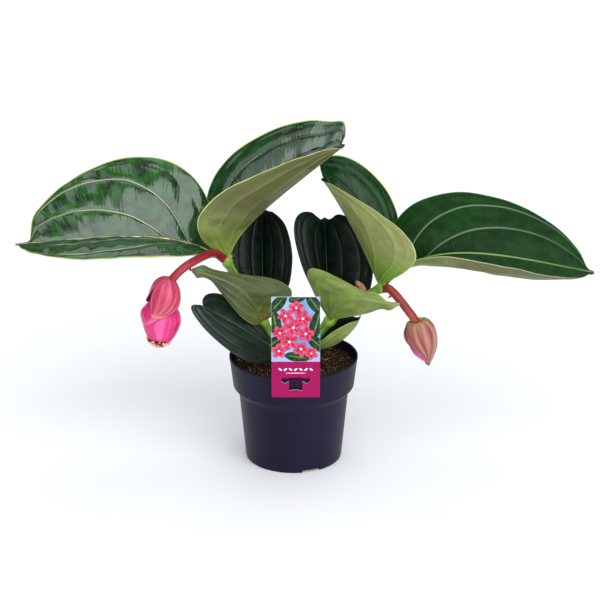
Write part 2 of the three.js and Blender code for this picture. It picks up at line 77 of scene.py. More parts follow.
# camera, lights and floor, in metres
studio = {
    "camera": (0.007, -1.8764, 0.879),
    "tilt": 69.6,
    "lens": 111.6,
    "fillLight": (0.88, 0.93, 1.0, 1),
    "lampTint": (0.95, 0.97, 1.0),
    "fillStrength": 0.42,
    "reflectedStrength": 0.12,
    "floorHalf": 6,
    # where each lamp shines from (degrees from the right, elevation), its width and strength
    "lamps": {
        "keyRight": {"from": (-66, 34), "width": 70, "strength": 2.6},
        "keyLeft": {"from": (-138, 42), "width": 50, "strength": 0.5},
        "overhead": {"from": (75, 68), "width": 60, "strength": 1.0},
    },
}


def addToScene(name, content):
    holder = bpy.data.objects.new(name, content)
    bpy.context.scene.collection.objects.link(holder)
    return holder


def buildStudio():
    scene = bpy.context.scene
    lens = bpy.data.cameras.new("camera")
    lens.lens = studio["lens"]
    lens.sensor_width = 36
    camera = addToScene("camera", lens)
    camera.location = studio["camera"]
    camera.rotation_euler = (math.radians(studio["tilt"]), 0, 0)
    scene.camera = camera
    scene.view_settings.view_transform = "Standard"
    for name, setting in studio["lamps"].items():
        lamp = bpy.data.lights.new(name, "SUN")
        lamp.angle = math.radians(setting["width"])
        lamp.energy = setting["strength"]
        lamp.color = studio["lampTint"]
        holder = addToScene(name, lamp)
        turn, rise = map(math.radians, setting["from"])
        away = around(turn, math.cos(rise), math.sin(rise))
        holder.location = away * 2
        holder.rotation_euler = away.to_track_quat("Z", "Y").to_euler()
    world = bpy.data.worlds.new("studio")
    world.use_nodes = True
    desk["tree"] = world.node_tree
    # white behind the plant, darker where it is mirrored
    ray = addNode("LightPath").outputs
    fill = soften(ray["Is Glossy Ray"], 0, 1, studio["fillStrength"], studio["reflectedStrength"])
    backdrop = world.node_tree.nodes["Background"].inputs
    backdrop[0].default_value = studio["fillLight"]
    world.node_tree.links.new(soften(ray["Is Camera Ray"], 0, 1, fill, 1), backdrop[1])
    scene.world = world
    bm = bmesh.new()
    bmesh.ops.create_grid(bm, x_segments=2, y_segments=2, size=studio["floorHalf"])
    finishPiece("floor", bm, [paleFloor()], rides=False)
    print("studio set")


desk = {}  # the node tree that new nodes go into, with its material and shader


def addNode(kind, inputs=None, **settings):
    made = desk["tree"].nodes.new("ShaderNode" + kind)
    for key, value in settings.items():
        setattr(made, key, value)
    for key, value in (inputs or {}).items():
        if isinstance(value, bpy.types.NodeSocket):
            desk["tree"].links.new(value, made.inputs[key])
        else:
            made.inputs[key].default_value = value
    return made


def calc(operation, *values):
    return addNode("Math", dict(enumerate(values)), operation=operation).outputs[0]


def times(first, second):
    return calc("MULTIPLY", first, second)


def addUp(*layers):
    # the sum of the layers, each by its weight
    total = 0.0
    for layer, weight in layers:
        total = calc("MULTIPLY_ADD", layer, weight, total)
    return total


def blend(share, low, high):
    # a colour is a socket or a hex code
    low, high = (colour(tone) if isinstance(tone, str) else tone for tone in (low, high))
    return addNode("Mix", {0: share, 6: low, 7: high}, data_type="RGBA").outputs[2]


def soften(value, start, end, low=0.0, high=1.0):
    spans = {0: value, 1: start, 2: end, 3: low, 4: high}
    return addNode("MapRange", spans, interpolation_type="SMOOTHSTEP").outputs[0]


def cloud(where, scale, detail=2.0, stretch=(1, 1, 1)):
    mapped = addNode("Mapping", {"Vector": where, "Scale": stretch}).outputs[0]
    return addNode("TexNoise", {"Vector": mapped, "Scale": scale, "Detail": detail}).outputs[0]


def ladderLines(surface, scale, detailScale):
    # fine cross veins, like rungs between the long ones
    inputs = {"Vector": surface, "Scale": scale, "Distortion": 2.5, "Detail": 2, "Detail Scale": detailScale}
    return addNode("TexWave", inputs, bands_direction="X").outputs["Fac"]


def objectPlace():
    return addNode("TexCoord").outputs["Object"]


def readAttribute(name):
    # the vector and its three parts
    vector = addNode("Attribute", attribute_name=name).outputs["Vector"]
    return vector, *addNode("SeparateXYZ", {0: vector}).outputs


def readTone(name):
    return addNode("Attribute", attribute_name=name).outputs["Fac"]


def startFinish(name, roughness, sockets=None):
    material = bpy.data.materials.new(name)
    material.use_nodes = True
    shader = material.node_tree.nodes["Principled BSDF"].inputs
    for key, value in {"Roughness": roughness, **(sockets or {})}.items():
        shader[key].default_value = value
    desk.update(material=material, tree=material.node_tree, shader=shader)


def endFinish(tone, height=None, distance=0.2, strength=0.5, roughness=None):
    sockets = {"Base Color": tone, "Roughness": roughness}
    if height is not None:
        inputs = {"Strength": strength, "Distance": distance * mm, "Height": height}
        # the clear coat follows the same relief
        sockets["Normal"] = sockets["Coat Normal"] = addNode("Bump", inputs).outputs[0]
    for key, value in sockets.items():
        if value is not None:
            desk["tree"].links.new(value, desk["shader"][key])
    return desk["material"]


def paleFloor():
    startFinish("paleFloor", 0.75)
    return endFinish(blend(cloud(objectPlace(), 3), "f4f5f6", "fafafa"))


def finishPiece(name, bm, materials, rides=True, replaced=(), smooth=True):
    # every mesh is drawn in millimetres except the floor
    if rides:
        bmesh.ops.scale(bm, vec=(mm, mm, mm), verts=bm.verts)
    piece = meshObject(name, bm)
    for material in materials:
        piece.data.materials.append(material)
    piece.data.shade_smooth() if smooth else piece.data.shade_flat()
    if rides:
        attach(piece, "root")
    if replaced:
        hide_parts(*replaced)
    return piece


def meshObject(name, bm):
    mesh = bpy.data.meshes.new(name)
    bm.to_mesh(mesh)
    bm.free()
    return addToScene(name, mesh)


def cutAway(body, cutters):
    for cutter in cutters:
        cut = body.modifiers.new("cut", "BOOLEAN")
        cut.operation = "DIFFERENCE"
        cut.solver = "EXACT"
        cut.object = cutter
    graph = bpy.context.evaluated_depsgraph_get()
    result = bmesh.new()
    result.from_mesh(bpy.data.meshes.new_from_object(body.evaluated_get(graph)))
    for used in [body, *cutters]:
        bpy.data.objects.remove(used)
    return result


def addPart(bm, part):
    # a small part is shaped by itself and then joined to its mesh
    mesh = bpy.data.meshes.new("part")
    part.to_mesh(mesh)
    part.free()
    bm.from_mesh(mesh)
    bpy.data.meshes.remove(mesh)


def setInPlace(bm, size, turn, spot):
    # a whole mesh is sized, turned round the origin and moved
    bmesh.ops.scale(bm, vec=size, verts=bm.verts)
    if turn:
        bmesh.ops.rotate(bm, cent=(0, 0, 0), matrix=turn, verts=bm.verts)
    bmesh.ops.translate(bm, vec=spot, verts=bm.verts)


def roundOff(bm, edges, offset, segments):
    bmesh.ops.bevel(bm, geom=edges, offset=offset, affect="EDGES", segments=segments,
                    profile=0.5, material=-1)


def only(kind, geometry):
    return [part for part in geometry if isinstance(part, kind)]


def vectorLayer(bm, name):
    layers = bm.verts.layers.float_vector
    return layers.get(name) or layers.new(name)


def throughPoints(points, count):
    # a smooth line through the points, with an even number of steps on each span
    points = [Vector(point) for point in points]
    line = []
    for k in range(count + 1):
        along = (len(points) - 1) * k / count
        span = min(int(along), len(points) - 2)
        t = along - span
        a, b = points[max(span - 1, 0)], points[span]
        c, d = points[span + 1], points[min(span + 2, len(points) - 1)]
        start, end = (c - a) / 2, (d - b) / 2
        line.append((b * 2 - c * 2 + start + end) * t ** 3
                    + (c * 3 - b * 3 - start * 2 - end) * t * t + start * t + b)
    return line


def roundTube(bm, centres, radii, segments, shape=None, marks=None):
    # rings strung along a line and bridged into a tube, closed at both ends
    skin = vectorLayer(bm, "skin")
    centres = [Vector(centre) for centre in centres]
    last = len(centres) - 1
    toward = [(centres[min(k + 1, last)] - centres[max(k - 1, 0)]).normalized() for k in range(last + 1)]
    turn = toward[0].to_track_quat("Z", "Y")
    travelled, rings, ends, faces = 0, [], [], []
    for k, centre in enumerate(centres):
        if k:
            turn = toward[k - 1].rotation_difference(toward[k]) @ turn
            travelled += (centre - centres[k - 1]).length
        matrix = Matrix.Translation(centre) @ turn.to_matrix().to_4x4()
        ring = bmesh.ops.create_circle(bm, cap_ends=False, radius=1, segments=segments)["verts"]
        for vert in ring:
            angle = math.atan2(vert.co.y, vert.co.x)
            reach = radii[k] * (1 + (shape(angle, k / last) if shape else 0))
            vert[skin] = (math.cos(angle), math.sin(angle), travelled / 10)
            if marks:
                vert[marks[0]] = marks[1][k]
            vert.co = matrix @ (vert.co * reach)
        rings.append(list({edge for vert in ring for edge in vert.link_edges}))
        ends.append(ring)
    for low, high in zip(rings, rings[1:]):
        faces += bmesh.ops.bridge_loops(bm, edges=low + high)["faces"]
    for ring in (ends[0], ends[-1]):
        faces += bmesh.ops.contextual_create(bm, geom=ring)["faces"]
    bmesh.ops.recalc_face_normals(bm, faces=faces)


def turnedSolid(bm, profile, steps, matrix=None):
    # spin a line of (radius, height) points that starts and ends on the axis
    verts = [bm.verts.new((radius, 0, height)) for radius, height in profile]
    edges = [bm.edges.new(pair) for pair in zip(verts, verts[1:])]
    bmesh.ops.spin(bm, geom=verts + edges, cent=(0, 0, 0), axis=(0, 0, 1), angle=2 * math.pi,
                   steps=steps, use_merge=True)
    bmesh.ops.remove_doubles(bm, verts=bm.verts, dist=0.0005)
    bmesh.ops.recalc_face_normals(bm, faces=bm.faces)
    if matrix:
        bmesh.ops.transform(bm, matrix=matrix, verts=bm.verts)


def pleat(verts, depth, count, twist=0):
    # lengthwise ridges round the Z axis
    for vert in verts:
        swell = 1 + depth * math.cos(count * math.atan2(vert.co.y, vert.co.x) + vert.co.z * twist)
        vert.co.x *= swell
        vert.co.y *= swell


# Leaves. Midrib and margins are cubic curves from the base to the tip, and each margin lists
# only its two inner points. Left and right are seen from the base, upper side up.
plainLeaf = {
    "arch": (0.08, 0.08),  # how far each half bends upwards, as a share of its width
    "openReach": 12,  # a margin closer to the midrib than this is spread flat towards the tip
    "fullness": (0, 0, 0.5, 1),  # widening of left and right, its place along the blade, its reach
    "tipHalf": (1.6, 1.6), "drip": 1, "lobe": 0, "ripple": 0.4,
    # side veins: where each one starts, how soon it has spread, how far out it runs
    "veins": ((0.04, 0.3, 0.5), (-0.05, 0.18, 0.8), (-0.05, 0.15, 0.93)),
    "under": "greenUnder", "edge": "duskEdge", "rows": 80,
}
leaves = {
    "leaf_left_long": {
        "mid": [(-78, -3, 228), (-125, -8, 269), (-202, -28, 260), (-288, -37, 257)],
        "left": [(-75, -50, 262), (-248, -165, 266)], "right": [(-86, 75, 397), (-273, 45, 317)],
        "arch": (0.08, 0.05), "openReach": 7, "drip": 2, "ripple": 1.0, "lobe": 1.2,
        "fullness": (0, -0.85, 0.97, 0.06),
        "veins": ((0.33, 0.62, 1), (0.21, 0.25, 1), (0, 0.2, 1)),
        "upper": "glossyUpper", "under": "oliveUnder", "edge": "limeEdge", "rows": 170,
    },
    "leaf_left_top": {
        "mid": [(-69, 2, 227), (-62, 5, 264), (-4, 30, 296), (54, 45, 341)],
        "left": [(-172, 95, 311), (64, 70, 410)], "right": [(-158, -80, 304), (-34, -55, 346)],
        "arch": (0.08, -0.08), "openReach": 8, "ripple": 0.8,
        "fullness": (0.3, 0, 0.93, 0.07),
        "veins": ((0.02, 0.3, 0.45), (-0.05, 0.2, 0.75), (-0.05, 0.15, 0.93)),
        "upper": "groovedUpper", "under": "oliveUnder", "edge": "limeEdge", "rows": 150,
    },
    "leaf_right_top": {
        "mid": [(92, 2, 198), (74, 10, 240), (53, 40, 274), (31, 60, 299)],
        "left": [(160, -105, 265), (124, -60, 279)], "right": [(171, 60, 283), (15, 95, 362)],
        "arch": (-0.08, 0.08), "openReach": 7, "drip": 0.6, "ripple": 0.5,
        "fullness": (0, 0.22, 0.93, 0.07),
        "upper": "deepUpper", "under": "limeUnder", "edge": "limeEdge", "rows": 120,
    },
    "leaf_right_long": {
        "mid": [(101, 0, 199), (139, -5, 260), (234, -22, 237), (313, -30, 224)],
        "left": [(75, 60, 335), (282, 50, 298)], "right": [(130, -50, 294), (272, -120, 223)],
        "arch": (0.08, -0.27), "drip": 4, "tipHalf": (2, 4),
        "veins": ((0.26, 0.4, 0.75), (0.12, 0.28, 1), (-0.05, 0.15, 0.95)),
        "upper": "veinedUpper", "under": "oliveUnder", "rows": 150,
    },
    "leaf_back_left": {
        "mid": [(-33, 4, 158), (-33, 25, 183), (-35, 50, 227), (-34, 60, 266)],
        "left": [(-82, 12, 188), (-76, 20, 274)], "right": [(16, 12, 188), (5, 20, 274)],
        "upper": "darkUpper", "rows": 70,
    },
    "leaf_back_right": {
        "mid": [(39, 4, 158), (37, 25, 183), (35, 50, 227), (34, 60, 254)],
        "left": [(12, 12, 188), (-29, 20, 306)], "right": [(122, 12, 162), (79, 20, 299)],
        "upper": "darkUpper", "rows": 70,
    },
    "leaf_front_left": {
        "mid": [(-34, -4, 157), (-51, -30, 204), (-50, -70, 224), (-106, -55, 235)],
        "left": [(55, 10, 204), (-61, -20, 220)], "right": [(-55, -38, 152), (-79, -30, 226)],
        "arch": (-0.05, -0.05), "drip": 2, "ripple": 0.9,
        "upper": "greyUpper", "under": "greyUnder",
    },
    "leaf_low_left": {
        "mid": [(-18, -1, 123), (-45, -15, 149), (-73, -34, 172), (-95, -42, 190)],
        "left": [(-33, -62, 90), (-145, -58, 215)], "right": [(-23, 4, 173), (-106, -2, 210)],
        "openReach": 2, "ripple": 0.6, "upper": "greyUpper",
    },
    "leaf_front_right": {
        "mid": [(40, -4, 158), (44, -30, 209), (76, -60, 200), (110, -50, 195)],
        "left": [(55, 0, 164), (87, -15, 167)], "right": [(-16, 0, 249), (27, -10, 222)],
        "arch": (-0.05, -0.05), "drip": 2, "ripple": 0.5,
        "fullness": (-0.35, -0.95, 0.9, 0.18), "upper": "deepUpper",
    },
    "leaf_low_right": {
        "mid": [(19, -1, 125), (45, 0, 123), (64, 8, 138), (73, 12, 159)],
        "left": [(27, 30, 149), (56, 30, 156)], "right": [(34, -18, 144), (55, -10, 160)],
        "arch": (-0.05, -0.05), "ripple": 0.5, "upper": "darkUpper", "rows": 60,
    },
}
blade = {
    "thickness": 1.0,
    "slack": 1.2,  # kept free above the thickest spot when the thickness is shared out
    "marginShare": 0.55,  # thickness at the margin
    "petioleHalf": 2.6,
    "columns": (9, 8, 6, 4),  # between the midrib, three side veins and the margin
    "pull": 0.11,  # how far the columns are drawn towards the veins
    "leastStrip": 0.014,  # narrowest strip between two veins, as a share of the half width
    "faintness": (0, 0, 1.6),  # how far each side vein stays under the surface
    "puff": 0.5,
    "groove": 0.55,
    "veinWidth": 1.3,
    "midribWidth": 2.3,
    "ribDepth": 2.2,
    "veinDepth": 0.25,
    "dripShare": 0.06,
    # waves across a half, then across each strip: length along, stretch across, height, own phase
    "waves": ((17, 120, 2.2, 0), (10, 60, 1.5, 1), (4.6, 24, 0.4, 1)),
    "roll": (34, 30, 1.6),  # one slow wave over the whole leaf: length, stretch across, height
}


def cubic(rail, t):
    a, b, c, d = rail
    s = 1 - t
    return a * s ** 3 + b * (3 * s * s * t) + c * (3 * s * t * t) + d * t ** 3


def heading(rail, t):
    a, b, c, d = rail
    s = 1 - t
    return ((b - a) * (s * s) + (c - b) * (2 * s * t) + (d - c) * (t * t)).normalized()


def bladeRow(rails, leaf, u):
    inside = min(u, 1)
    near = min(max(inside, 0.004), 0.996)
    along = heading(rails["mid"], min(max(inside, 0.001), 0.999))
    halves = [cubic(rails[side], near) - cubic(rails["mid"], near) for side in ("left", "right")]
    square = [(half - along * half.dot(along)).normalized() for half in halves]
    flat = (square[0] - square[1]).normalized()
    # beyond the rails' end the blade narrows to a drip tip
    beyond = max(u - 1, 0) / blade["dripShare"]
    chords, ups = [], []
    *fullness, place, reach = leaf["fullness"]
    for half, sign, tipHalf, full in zip(halves, (1, -1), leaf["tipHalf"], fullness):
        half = half * (1 + full * hump(u - place, reach))
        least = mix(blade["petioleHalf"], tipHalf, inside)
        opening = hump(half.length, leaf["openReach"]) * ease(0.4, 0.6, u)
        chord = half.normalized() * (1 - opening) + flat * (sign * opening)
        chord = chord.normalized() * math.hypot(half.length, least)
        chords.append(chord * math.sqrt(1 - 0.94 * min(beyond, 1) ** 2))
        ups.append(along.cross(chord).normalized() * sign)
    centre = cubic(rails["mid"], inside) + along * (leaf["drip"] * beyond)
    # the upper side of the fold, also where both halves stand against each other
    closing = 1 if chords[0].dot(ups[1]) > 0 else -1
    crest = ups[0] + ups[1] + (chords[0].normalized() + chords[1].normalized()) * closing
    return centre, chords, ups, crest.normalized(), max(ups[0].dot(ups[1]), 0)


def veinLines(u, veins):
    # midrib, side veins and margin at this height of the blade, as shares of the half width
    least = blade["leastStrip"]
    lines = [0]
    for start, pace, top in veins:
        run = top * (1 - math.exp(-max(u - start, 0) / pace))
        lines.append(max(run, lines[-1] + least))
    for k in range(len(veins), 0, -1):
        lines[k] = min(lines[k], 1 - 3 * least * (len(veins) + 1 - k))
    return lines + [1]


def findStrip(step):
    # the strip between two veins that a column lies in, and its share of that strip
    strip = 0
    while strip < len(blade["columns"]) - 1 and step > blade["columns"][strip]:
        step -= blade["columns"][strip]
        strip += 1
    share = step / blade["columns"][strip]
    return strip, share - blade["pull"] * math.sin(2 * math.pi * share)


def reliefAt(leaf, u, v, strip, share, along, reach, width, side, seed):
    # how far the surface rises over its plain sheet: puffs between the veins and waves
    calm = ease(0.03, 0.15, u) * ease(1.0, 0.9, u) if u < 1 else 0
    swell = math.sin(math.pi * share)
    relief = blade["puff"] * swell * min(1, width / 16) * calm
    for longWay, crossWay, height, ownPhase in blade["waves"]:
        phase = seed + longWay + 31 * side + 7.7 * strip * ownPhase
        wave = noise.noise(Vector((along / longWay, v * reach / crossWay, phase)))
        hold = swell ** 0.6 * min(1, width / 12) if ownPhase else ease(0, 0.25, v) * min(1, reach / 30)
        relief += leaf["ripple"] * height * wave * hold * calm
    longWay, crossWay, height = blade["roll"]
    roll = noise.noise(Vector((along / longWay, v * reach / crossWay * (1 - 2 * side), seed + 21)))
    return relief + height * roll * ease(0.2, 1, v) * min(1, reach / 30) * calm


def buildLeaf(name, leaf, finishes):
    base, *_, tip = leaf["mid"]
    rails = {"mid": [Vector(point) for point in leaf["mid"]]}
    for side in ("left", "right"):
        rails[side] = [Vector(point) for point in (base, *leaf[side], tip)]
    veins = leaf["veins"]
    half = sum(blade["columns"])
    seed = 7.3 * sorted(leaves).index(name)
    bm = bmesh.new()
    bmesh.ops.create_grid(bm, x_segments=leaf["rows"], y_segments=2 * half, size=1)
    place, stretch, ribs = (vectorLayer(bm, key) for key in ("blade", "surface", "ribs"))
    weight = bm.verts.layers.deform.verify()
    deepest = blade["thickness"] + blade["ribDepth"] + leaf["lobe"] + blade["slack"]
    rows = {}
    travelled, before = 0, None
    for station in sorted({round(vert.co.x, 5) for vert in bm.verts}):
        u = (station + 1) / 2 * (1 + blade["dripShare"])
        row = bladeRow(rails, leaf, u)
        travelled += (row[0] - before).length if before else 0
        before = row[0]
        rows[station] = (u, travelled, veinLines(min(u, 1), veins), *row)
    for vert in bm.verts:
        u, along, lines, centre, chords, ups, crest, flatness = rows[round(vert.co.x, 5)]
        side = 0 if vert.co.y >= 0 else 1
        step = round(abs(vert.co.y) * half)
        strip, share = findStrip(step)
        v = mix(lines[strip], lines[strip + 1], share)
        reach = chords[side].length
        fromMidrib, fromMargin = v * reach, (1 - v) * reach
        fromVein = min(abs(v - line) * reach + faint + 4 * ease(start, start - 0.05, u)
                       for line, faint, (start, _, _) in zip(lines[1:], blade["faintness"], veins))
        width = (lines[strip + 1] - lines[strip]) * reach
        relief = reliefAt(leaf, u, v, strip, share, along, reach, width, side, seed)
        relief -= blade["groove"] * hump(min(fromMidrib, fromVein), blade["veinWidth"]) * min(1, reach / 12)
        lift = relief + blade["thickness"] / 2
        bend = leaf["arch"][side] * reach * math.sin(math.pi * v) * math.sqrt(math.sin(math.pi * min(u, 1)))
        if step:
            vert.co = centre + chords[side] * v + ups[side] * (bend + lift)
        else:
            vert.co = centre + crest * lift
        vert[place] = (u, v * (1 - 2 * side), seed)
        vert[stretch] = (along / 10, fromMidrib / 10 * (1 - 2 * side), seed)
        vert[ribs] = (fromMidrib, fromVein, fromMargin + 3 * ease(9, 4, reach))
        rib = hump(fromMidrib, blade["midribWidth"]) * (blade["ribDepth"] * (1 - min(u, 1)) ** 2 + 0.5)
        rib *= flatness * min(1, reach / 14)
        thick = blade["thickness"] + rib + blade["veinDepth"] * hump(fromVein, 1.0) * min(1, reach / 20)
        thick *= mix(1, blade["marginShare"], ease(4, 0, fromMargin))
        thick += leaf["lobe"] * ease(0.97, 1.02, u) * (1 - v * v)
        vert[weight][0] = min(thick / deepest, 1)
    materials = [finishes[leaf[key]] for key in ("upper", "under", "edge")]
    piece = finishPiece(name + "_blade", bm, materials, replaced=[name])
    piece.vertex_groups.new(name="thickness")
    shell = piece.modifiers.new("underside", "SOLIDIFY")
    shell.thickness = deepest * mm
    shell.offset = -1
    shell.vertex_group = "thickness"
    shell.material_offset = 1
    shell.material_offset_rim = 2


# Finishes of the upper sides: deep and fresh green, midrib, side veins and rim, then the
# veins' width in millimetres and strength, the roughness, the clear coat and the sheen.
upperTones = {
    "glossyUpper": ("072408", "1e5812", "d3d89a", "a9c27c", "a3c43f", 0.9, 0.85, 0.36, 0.8, 0.08),
    # painted shade: the dark midrib and side-vein tones of this finish stand for shade in the sunken veins
    "groovedUpper": ("07220a", "174c14", "2c5a24", "0b2c0e", "9ccb34", 1.1, 0.8, 0.36, 0.85, 0.1),
    "deepUpper": ("0b2a10", "184618", "86a860", "4f7a40", "a6c650", 0.8, 0.25, 0.34, 0.14, 0.1),
    "veinedUpper": ("0a2a0a", "133f10", "8aa562", "7c9a72", "3f7a2c", 1.6, 0.55, 0.45, 0.04, 0.08),
    # painted shade: near-black greens for the leaves that stand in shade at the back and low down
    "darkUpper": ("040b06", "0c1c12", "36492f", "22331f", "122416", 0.9, 0.5, 0.45, 0.06, 0.15),
    "greyUpper": ("142119", "27372b", "3c5034", "2c3c2a", "24331f", 0.9, 0.5, 0.36, 0.2, 0.3),
}
upperCoat = {"Coat Roughness": 0.14, "Coat IOR": 1.85}


def leafPlaces():
    # the share of the length, the distances from midrib, vein and margin, the flat surface
    return readAttribute("blade")[1], *readAttribute("ribs")[1:], readAttribute("surface")[0]


def upperFinish(name, tones):
    deep, fresh, midribTone, veinTone, rim, width, veinShare, roughness, coat, sheen = tones
    startFinish(name, roughness, {"Coat Weight": coat, "Specular IOR Level": sheen, **upperCoat})
    u, fromMidrib, fromVein, fromMargin, surface = leafPlaces()
    # the midrib widens towards the stem
    wider = soften(u, 0.25, 0.02, 0, 1.6)
    midrib = soften(calc("SUBTRACT", fromMidrib, wider), 1.3, 0.5)
    veins = soften(fromVein, width, width * 0.3)
    tone = blend(soften(cloud(surface, 0.9, 6), 0.3, 0.7), deep, fresh)
    streaks = cloud(surface, 2.2, 3, (1.6, 0.35, 1))
    tone = blend(soften(streaks, 0.5, 0.8, 0, 0.5), tone, fresh)
    # painted shade: darker green along the grooves beside the side veins
    tone = blend(soften(fromVein, 4, 1.2, 0, 0.6), tone, deep)
    # side veins fade towards the tip and near the midrib
    fading = times(soften(u, 1.0, 0.5, 0.25, 1), soften(fromMidrib, 1, 14, 0.5, 1))
    tone = blend(times(veins, times(fading, veinShare)), tone, veinTone)
    tone = blend(times(midrib, soften(u, 1.0, 0.4, 0.5, 1)), tone, midribTone)
    tone = blend(soften(fromMargin, 1.5, 0.7), tone, rim)
    tone = blend(soften(u, 0.12, 0.0, 0, 0.8), tone, "7d9a3f")
    dips = calc("MAXIMUM", soften(fromVein, 1.6, 0.4), soften(fromMidrib, 1.8, 0.5))
    pleats = cloud(surface, 2.6, 2, (1.5, 0.3, 1))
    ladder, grain = ladderLines(surface, 1.0, 0.6), cloud(surface, 22, 2)
    height = addUp((ladder, 0.35), (grain, 0.12), (pleats, 2), (dips, -1))
    low = roughness - 0.05
    rough = soften(cloud(surface, 1.4, 4), 0.3, 0.75, low, low + 0.14)
    return endFinish(tone, height, 0.26, 0.6, rough)


# Finishes of the undersides: base, dusk, raised veins, young green near the stem and rim,
# then where dusk is strongest, its share, the cross lines, the crumpling and a blush of flecks.
underTones = {
    "oliveUnder": ("7f864a", "4c4a22", "858b50", "7f9a3a", "d6d8a2", (0.25, 0.5), 0.7, 0.4, 0.4, None),
    "limeUnder": ("9aa062", "828c4a", "7d9438", "7cae30", "cbd898", (0.5, 1.0), 0.2, 0.3, 0.3, None),
    "greyUnder": ("5b683c", "454f2a", "67744a", "6f8434", "8a9a62", (0.3, 0.8), 0.3, 0.65, 3.0, "8c4a26"),
    "greenUnder": ("8da34c", "667438", "7f9148", "5f7f2c", "a3bf6c", (0.45, 0.95), 0.75, 0.55, 1.8, None),
}


def underFinish(name, tones):
    base, dusk, veinTone, young, rim, dusky, duskShare, lines, crumple, blush = tones
    startFinish(name, 0.55, {"Coat Weight": 0.05})
    u, fromMidrib, fromVein, fromMargin, surface = leafPlaces()
    veins = soften(fromVein, 1.3, 0.4)
    mottle = soften(cloud(surface, 0.6, 5), 0.35, 0.7, 0, 0.75)
    tone = blend(calc("MAXIMUM", mottle, soften(u, *dusky, 0, duskShare)), base, dusk)
    ladder = ladderLines(surface, 1.1, 0.5)
    tone = blend(soften(ladder, 0.6, 1.0, 0, lines), tone, dusk)
    raised = calc("MAXIMUM", soften(fromMidrib, 3.0, 1.0), times(veins, 0.45))
    tone = blend(times(raised, 0.7), tone, veinTone)
    tone = blend(soften(u, 0.42, 0.0, 0, 0.9), tone, young)
    if blush:
        flecks = soften(cloud(surface, 3.5, 3, (0.5, 1.6, 1)), 0.48, 0.62)
        tone = blend(times(flecks, soften(u, 0.3, 0.05, 0, 0.8)), tone, blush)
    tone = blend(soften(fromMargin, 1.3, 0.6, 0, 0.8), tone, rim)
    creases = cloud(surface, 1.3, 2, (1.3, 0.5, 1))
    height = addUp((ladder, 0.5), (cloud(surface, 18, 3), 0.3), (veins, 0.4), (creases, crumple))
    rough = soften(cloud(surface, 3, 3), 0.3, 0.7, 0.5, 0.64)
    return endFinish(tone, height, 0.25, 0.5, rough)


edgeTones = {"limeEdge": ("86a83a", "b5cc66"), "duskEdge": ("2a3c22", "4a6238")}


def edgeFinish(name, tones):
    startFinish(name, 0.5)
    surface = readAttribute("surface")[0]
    tone = blend(cloud(surface, 1.2, 2), *tones)
    # the tip has dried to a darker green
    tone = blend(soften(readAttribute("blade")[1], 0.96, 1.0), tone, "3f5222")
    return endFinish(tone, cloud(surface, 20, 2), 0.05)


def buildLeaves():
    finishes = {}
    for make, group in ((upperFinish, upperTones), (underFinish, underTones), (edgeFinish, edgeTones)):
        finishes.update({name: make(name, tones) for name, tones in group.items()})
    for name, leaf in leaves.items():
        buildLeaf(name, {**plainLeaf, **leaf}, finishes)
    print("leaves built:", len(leaves))


# Stems: square with raised corners, swollen and scarred where a leaf pair sits.
stems = {
    "stem_left": {
        "line": [(-15, 0, 62), (-15, 0, 108), (-20, 0, 130), (-33, 0, 157), (-56, 0, 198), (-71, 0, 225)],
        "joints": [(-18, 0, 123), (-33, 0, 157), (-71, 0, 226)],
    },
    "stem_right": {
        "line": [(12, 0, 62), (13, 0, 108), (20, 0, 127), (39, 0, 157), (72, 0, 182), (96, 0, 196)],
        "joints": [(19, 0, 125), (39, 0, 157), (96, 0, 196)],
    },
}
stemShape = {
    "radius": 4.4, "joint": 6.1, "corner": 0.11, "swelling": 5.5, "steps": 96, "segments": 24,
    "scar": 0.7, "hairs": 14, "hairLength": 5, "hairRadii": (0.34, 0.06), "hairLean": (0.5, 1.2),
}


def stemFinish():
    startFinish("greenStem", 0.42, {"Coat Weight": 0.15})
    skin = readAttribute("skin")[0]
    joint = readTone("joint")
    streaks = cloud(skin, 3.2, 3, (1, 1, 0.18))
    spots = cloud(skin, 9, 2)
    tone = blend(soften(streaks, 0.3, 0.7), "47701c", "83a832")
    tone = blend(soften(joint, 0.2, 1.0, 0, 0.7), tone, "8fb437")
    tone = blend(times(soften(spots, 0.58, 0.72, 0, 0.5), joint), tone, "8a5a2a")
    return endFinish(tone, addUp((streaks, 0.7), (spots, 0.3)), 0.4, 0.5)


def hairFinish():
    startFinish("paleBristle", 0.6)
    return endFinish(blend(cloud(objectPlace(), 300), "9aa85e", "cdd2a0"))


def addHair(bm, place):
    angle = random.uniform(0, 2 * math.pi)
    lean = random.uniform(*stemShape["hairLean"])
    length = stemShape["hairLength"] * random.uniform(0.5, 1)
    out = around(angle, math.sin(lean), math.cos(lean))
    matrix = placed(place + out * (stemShape["joint"] - 0.6 + length / 2), out)
    thick, thin = stemShape["hairRadii"]
    bmesh.ops.create_cone(bm, cap_ends=True, segments=5, radius1=thick, radius2=thin,
                          depth=length, matrix=matrix)


